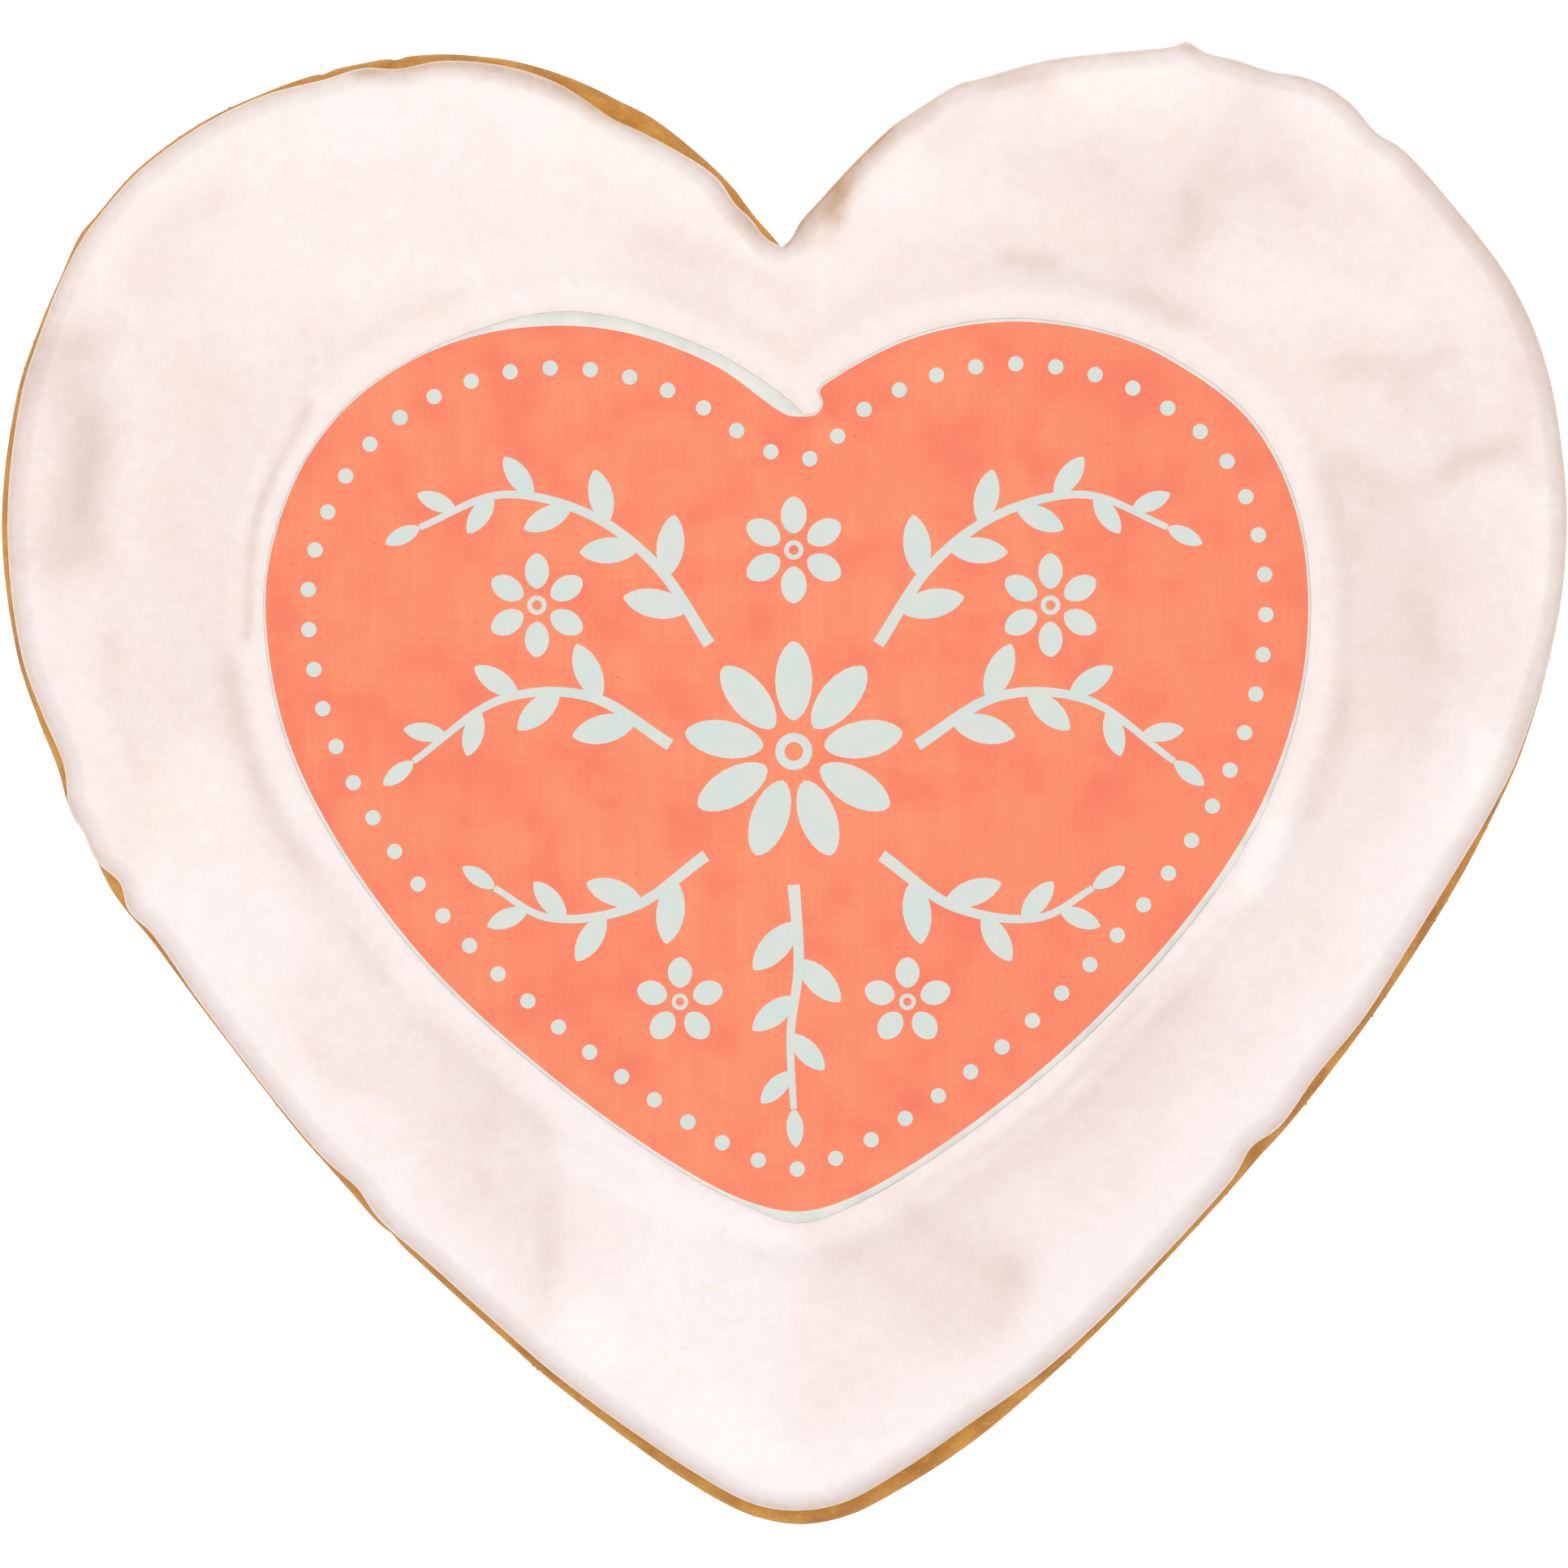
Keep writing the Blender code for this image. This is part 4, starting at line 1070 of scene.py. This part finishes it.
def pour(settings):
    """The layer of icing: underside, lip, rounded edge, uneven top and the paper's seat."""
    outline, base, direction, edge_in = rim_columns()
    path_in, path_up = shoulder(-CLING)
    steps = np.arange(len(path_up))
    low = skirt_low(outline, edge_in, path_in, path_up)
    foot_in = np.maximum(np.interp(low, path_up, path_in), path_in[0])
    foot_step = np.interp(low, path_up, steps)
    rings = []

    def level(inset, height):
        rings.append(ring(base, direction, inset, height))

    # Underside, from the top of the shoulder down to the lip
    level(SHOULDER_IN, BISCUIT_TOP - CLING)
    for share in CLING_SHARES:
        step = foot_step + share * (len(path_up) - 1 - foot_step)
        level(np.interp(step, steps, path_in), np.interp(step, steps, path_up))
    level(foot_in, np.where(low < path_up[0], (low + path_up[0]) / 2, low + LIP_UNDER))
    level(foot_in, low)

    # Lip, upright edge and the round from it to the top
    paper_edge = paper_outline(STEPS)
    icing_edge = base + direction * edge_in[:, None]
    around = (paper_edge, icing_edge, settings.relief)
    top_place = base + direction * (edge_in + EDGE_ROUND_IN)[:, None]
    top = icing_height(*top_place.T, *around)
    for share in LIP_SHARES:
        turn = share * math.pi / 2
        level(foot_in + (edge_in - foot_in) * math.sin(turn), low + EDGE_ROUND_LOW * (1 - math.cos(turn)))
    start = low + EDGE_ROUND_LOW
    crest = np.maximum(top - EDGE_ROUND_DOWN, (start + top) / 2)
    for share in EDGE_SHARES:
        level(edge_in + EDGE_LEAN * share, start + (crest - start) * share)
    for turn in np.linspace(0.0, 1.0, EDGE_RINGS) * math.pi / 2:
        inset = edge_in + EDGE_LEAN + (EDGE_ROUND_IN - EDGE_LEAN) * (1 - math.cos(turn))
        level(inset, crest + (top - crest) * math.sin(turn))

    # Top, with outlines that grow softer away from the paper, and the rounded edge of its seat
    outward = -inward(paper_edge, PRINT_BLUR)
    places = []
    for away in SEAT_SOFT_STEPS:
        soft = averaged(paper_edge, reach_of(paper_edge, SOFTENING * away))
        moved = soft - inward(soft, PRINT_BLUR + 2 * away) * away
        places.insert(0, averaged(moved, reach_of(moved, SOFTENING * away / 3)))
    for share in np.linspace(0.0, 1.0, TOP_RINGS)[1:-1]:
        places.insert(0, places[-len(SEAT_SOFT_STEPS)] * (1 - share) + top_place * share)
    for place in places:
        rings.append(ring(place, direction, 0.0, icing_height(*place.T, *around)))
    for away in SEAT_SHARES:
        place = paper_edge + outward * SEAT_LIP * away
        drop = SEAT_LIP * (1 - math.sqrt(1 - (1 - away) ** 2))
        rings.append(ring(place, direction, 0.0, icing_height(*place.T, *around) - drop))

    # The seat itself, a little way into the paper's underside
    tucked = paper_edge - outward * CLING
    centre = np.array(PAPER_CENTRE)
    for share in BED_SHARES:
        place = centre + (tucked - centre) * share
        rings.append(ring(place, direction, 0.0, paper_top(*place.T) - PAPER_THICK - CLING))
    middle = paper_top(*centre) - PAPER_THICK - CLING
    vertices, faces = skin(rings, (0.0, 0.0, BISCUIT_TOP - CLING), (*centre, middle))
    thing = make_object("icing_layer", vertices, faces, set_icing(settings))
    icing_looks(thing, vertices / MM, edge_in, paper_edge, icing_edge)
    return thing


def lay_paper(settings):
    """The printed heart: a thin sheet with a bare margin, lying in its seat."""
    outline = heart(PRINT_EDGE, STEPS)[:, :2]
    edge = paper_outline(STEPS)
    rounded = edge + inward(outline, PRINT_BLUR) * PAPER_EDGE_ROUND
    flat = np.vstack([outline, grid_inside(outline, PAPER_GRID)])
    filled = geometry.delaunay_2d_cdt([Vector(p) for p in flat], [], [list(range(STEPS))], 1, 1e-6)
    flat = np.array([tuple(p) for p in filled[0]])
    face = np.array(filled[2])
    rows = [
        np.column_stack([places, paper_top(*places.T) - down])
        for places, down in (
            (flat, PAPER_THICK), (edge, PAPER_THICK), (edge, PAPER_EDGE_ROUND), (rounded, 0.0), (flat, 0.0),
        )
    ]
    starts = np.cumsum([0] + [len(row) for row in rows[:-1]])
    faces = face[:, ::-1].tolist()
    for low, high in zip(starts[:-1], starts[1:]):
        faces += band(low, high, STEPS)
    bare = len(faces)
    faces += (face + starts[-1]).tolist()
    materials = (pale_paper("Bare sugar paper", settings.bare, settings.ink), printed_paper(settings))
    thing = make_object("paper_heart", np.vstack(rows) * MM, faces, *materials)
    chosen = np.zeros(len(faces), int)
    chosen[bare:] = 1
    thing.data.polygons.foreach_set("material_index", chosen)
    x, y = np.vstack(rows)[:, :2].T
    set_attribute(thing, "flush", np.clip(brushed(x, y, FLUSHED_SPOTS), 0.0, 1.0))
    return thing


def area_light(name, place, size, power):
    """Large soft lamp that points at the biscuit and isn't seen itself."""
    lamp = bpy.data.lights.new(name, "AREA")
    lamp.shape = "DISK"
    lamp.size = size
    lamp.energy = power
    thing = link(name, lamp)
    thing.location = place
    thing.rotation_euler = (-Vector(place)).to_track_quat("-Z", "Y").to_euler()
    thing.visible_camera = False


class HEART_OT_bake(bpy.types.Operator):
    """Make the baked heart and the crumbs on its edge"""

    bl_idname = "heart_biscuit.bake"
    bl_label = "Baked heart"

    def execute(self, context):
        settings = context.scene.heart_baking
        thing = bake_heart(settings)
        crumbs = grow(
            thing, crumb_tree(thing.data.materials[0]), "edge_crumbs",
            density=settings.crumbs / MM ** 2, crumb_radius=settings.crumb,
        )
        attach(thing, "baked_biscuit", "biscuit")
        attach(crumbs, "baked_biscuit")
        return {"FINISHED"}


class HEART_OT_pour(bpy.types.Operator):
    """Make the layer of icing"""

    bl_idname = "heart_biscuit.pour_icing"
    bl_label = "Icing"

    def execute(self, context):
        attach(pour(context.scene.heart_icing), "poured_icing", "icing")
        return {"FINISHED"}


class HEART_OT_lay_paper(bpy.types.Operator):
    """Make the printed sugar-paper heart"""

    bl_idname = "heart_biscuit.lay_paper"
    bl_label = "Sugar paper"

    def execute(self, context):
        attach(lay_paper(context.scene.heart_print), "printed_sugar_paper", "sugar_paper")
        return {"FINISHED"}


class HEART_OT_print(bpy.types.Operator):
    """Print the dotted border, the leafy stems and the flowers"""

    bl_idname = "heart_biscuit.print_motifs"
    bl_label = "Printed motifs"

    def execute(self, context):
        settings = context.scene.heart_print
        tree = motif_tree(pale_paper("Mint food ink", settings.ink, settings.tint))
        outline = heart(PRINT_EDGE, BORDER_STEPS)[:, :2]
        border = outline + inward(outline, BORDER_BLUR) * BORDER_IN - (AXIS, 0.0)
        pieces = [print_motifs(
            "printed_border", [border], True, tree, step=settings.dot_step, length=settings.dot,
            width=settings.dot, draw_motifs=True,
        )]
        lines = [[(side * x, y) for x, y in stem] for stem in SIDE_STEMS for side in (-1, 1)]
        stems = [spline(line, STEM_STEPS) for line in (*lines, MIDDLE_STEM)]
        pieces.append(print_motifs(
            "printed_stems", stems, False, tree, step=settings.leaf_step, length=settings.leaf,
            width=settings.leaf_wide, turn=LEAF_TURN, point=LEAF_POINT, rooted=1.0, taper=LEAF_TAPER,
            stem_width=settings.stem_wide, both_sides=True, draw_motifs=True, draw_stem=True, first=1,
        ))
        turns = np.linspace(0.0, math.tau, CIRCLE_STEPS, endpoint=False) + math.pi / 2
        for k, (x, y, petals, long, wide, start) in enumerate(FLOWERS):
            circle = np.column_stack([x + start * np.cos(turns), y + start * np.sin(turns)])
            eye = (circle - (x, y)) * EYE_SHARE + (x, y)
            pieces.append(print_motifs(
                f"printed_petals_{k}", [circle], True, tree, step=math.tau * start / petals * MM,
                length=long * MM, width=wide * MM, turn=-math.pi / 2, point=PETAL_POINT, rooted=1.0,
                draw_motifs=True,
            ))
            pieces.append(print_motifs(
                f"printed_eye_{k}", [eye], True, tree, step=EYE_STEP * MM, stem_width=EYE_LINE * start * MM,
                draw_stem=True,
            ))
        for piece in pieces:
            attach(piece, "printed_sugar_paper")
        return {"FINISHED"}


class HEART_OT_stage(bpy.types.Operator):
    """Set up the floor, the light and the camera"""

    bl_idname = "heart_biscuit.set_stage"
    bl_label = "Stage"

    def execute(self, context):
        settings = context.scene.heart_stage
        scene = context.scene
        table = start_material("Matt white table", {
            "Base Color": opaque(settings.table), "Roughness": 0.9,
            "Emission Color": opaque(settings.floor), "Emission Strength": settings.glow,
        })[0]
        corners = np.array([(x * FLOOR_HALF, y * FLOOR_HALF, -FLOOR_GAP * MM) for x, y in SQUARE])
        floor = make_object("floor", corners, [(0, 1, 2, 3)], table)

        area_light("key light", *KEY_LIGHT, settings.key)
        area_light("top light", *TOP_LIGHT, settings.top)
        scene.world = bpy.data.worlds.new("pale surround")
        scene.world.use_nodes = True
        surround = scene.world.node_tree.nodes["Background"].inputs
        surround["Color"].default_value = opaque(settings.floor)
        surround["Strength"].default_value = settings.sky
        scene.view_settings.view_transform = "Standard"

        lens = bpy.data.cameras.new("camera")
        lens.lens = LENS
        lens.sensor_width = SENSOR
        scene.camera = link("camera", lens)
        scene.camera.location = (0.0, 0.0, ICING_TOP * MM + settings.view * LENS / SENSOR)
        return {"FINISHED"}


OPERATORS = (HEART_OT_bake, HEART_OT_pour, HEART_OT_lay_paper, HEART_OT_print, HEART_OT_stage)
GROUPS = {
    "heart_baking": BakingSettings,
    "heart_icing": IcingSettings,
    "heart_print": PrintSettings,
    "heart_stage": StageSettings,
}


class HEART_PT_panel(bpy.types.Panel):
    """Lists the pieces of the biscuit in the order in which they are made"""

    bl_idname = "HEART_PT_panel"
    bl_label = "Heart biscuit"
    bl_space_type = "VIEW_3D"
    bl_region_type = "UI"
    bl_category = "Heart biscuit"

    def draw(self, context):
        for operator in OPERATORS:
            self.layout.operator(operator.bl_idname)
        for group in GROUPS:
            settings = getattr(context.scene, group)
            box = self.layout.box()
            for name in settings.bl_rna.properties.keys():
                if name not in ("rna_type", "name"):
                    box.prop(settings, name)


CLASSES = (*GROUPS.values(), *OPERATORS, HEART_PT_panel)


def register():
    for kind in CLASSES:
        bpy.utils.register_class(kind)
    for name, kind in GROUPS.items():
        setattr(bpy.types.Scene, name, bpy.props.PointerProperty(type=kind))


def unregister():
    for name in GROUPS:
        delattr(bpy.types.Scene, name)
    for kind in reversed(CLASSES):
        bpy.utils.unregister_class(kind)


def main():
    register()
    bpy.ops.heart_biscuit.bake()
    bpy.ops.heart_biscuit.pour_icing()
    bpy.ops.heart_biscuit.lay_paper()
    bpy.ops.heart_biscuit.print_motifs()
    bpy.ops.heart_biscuit.set_stage()
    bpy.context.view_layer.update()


if __name__ == "__main__":
    main()
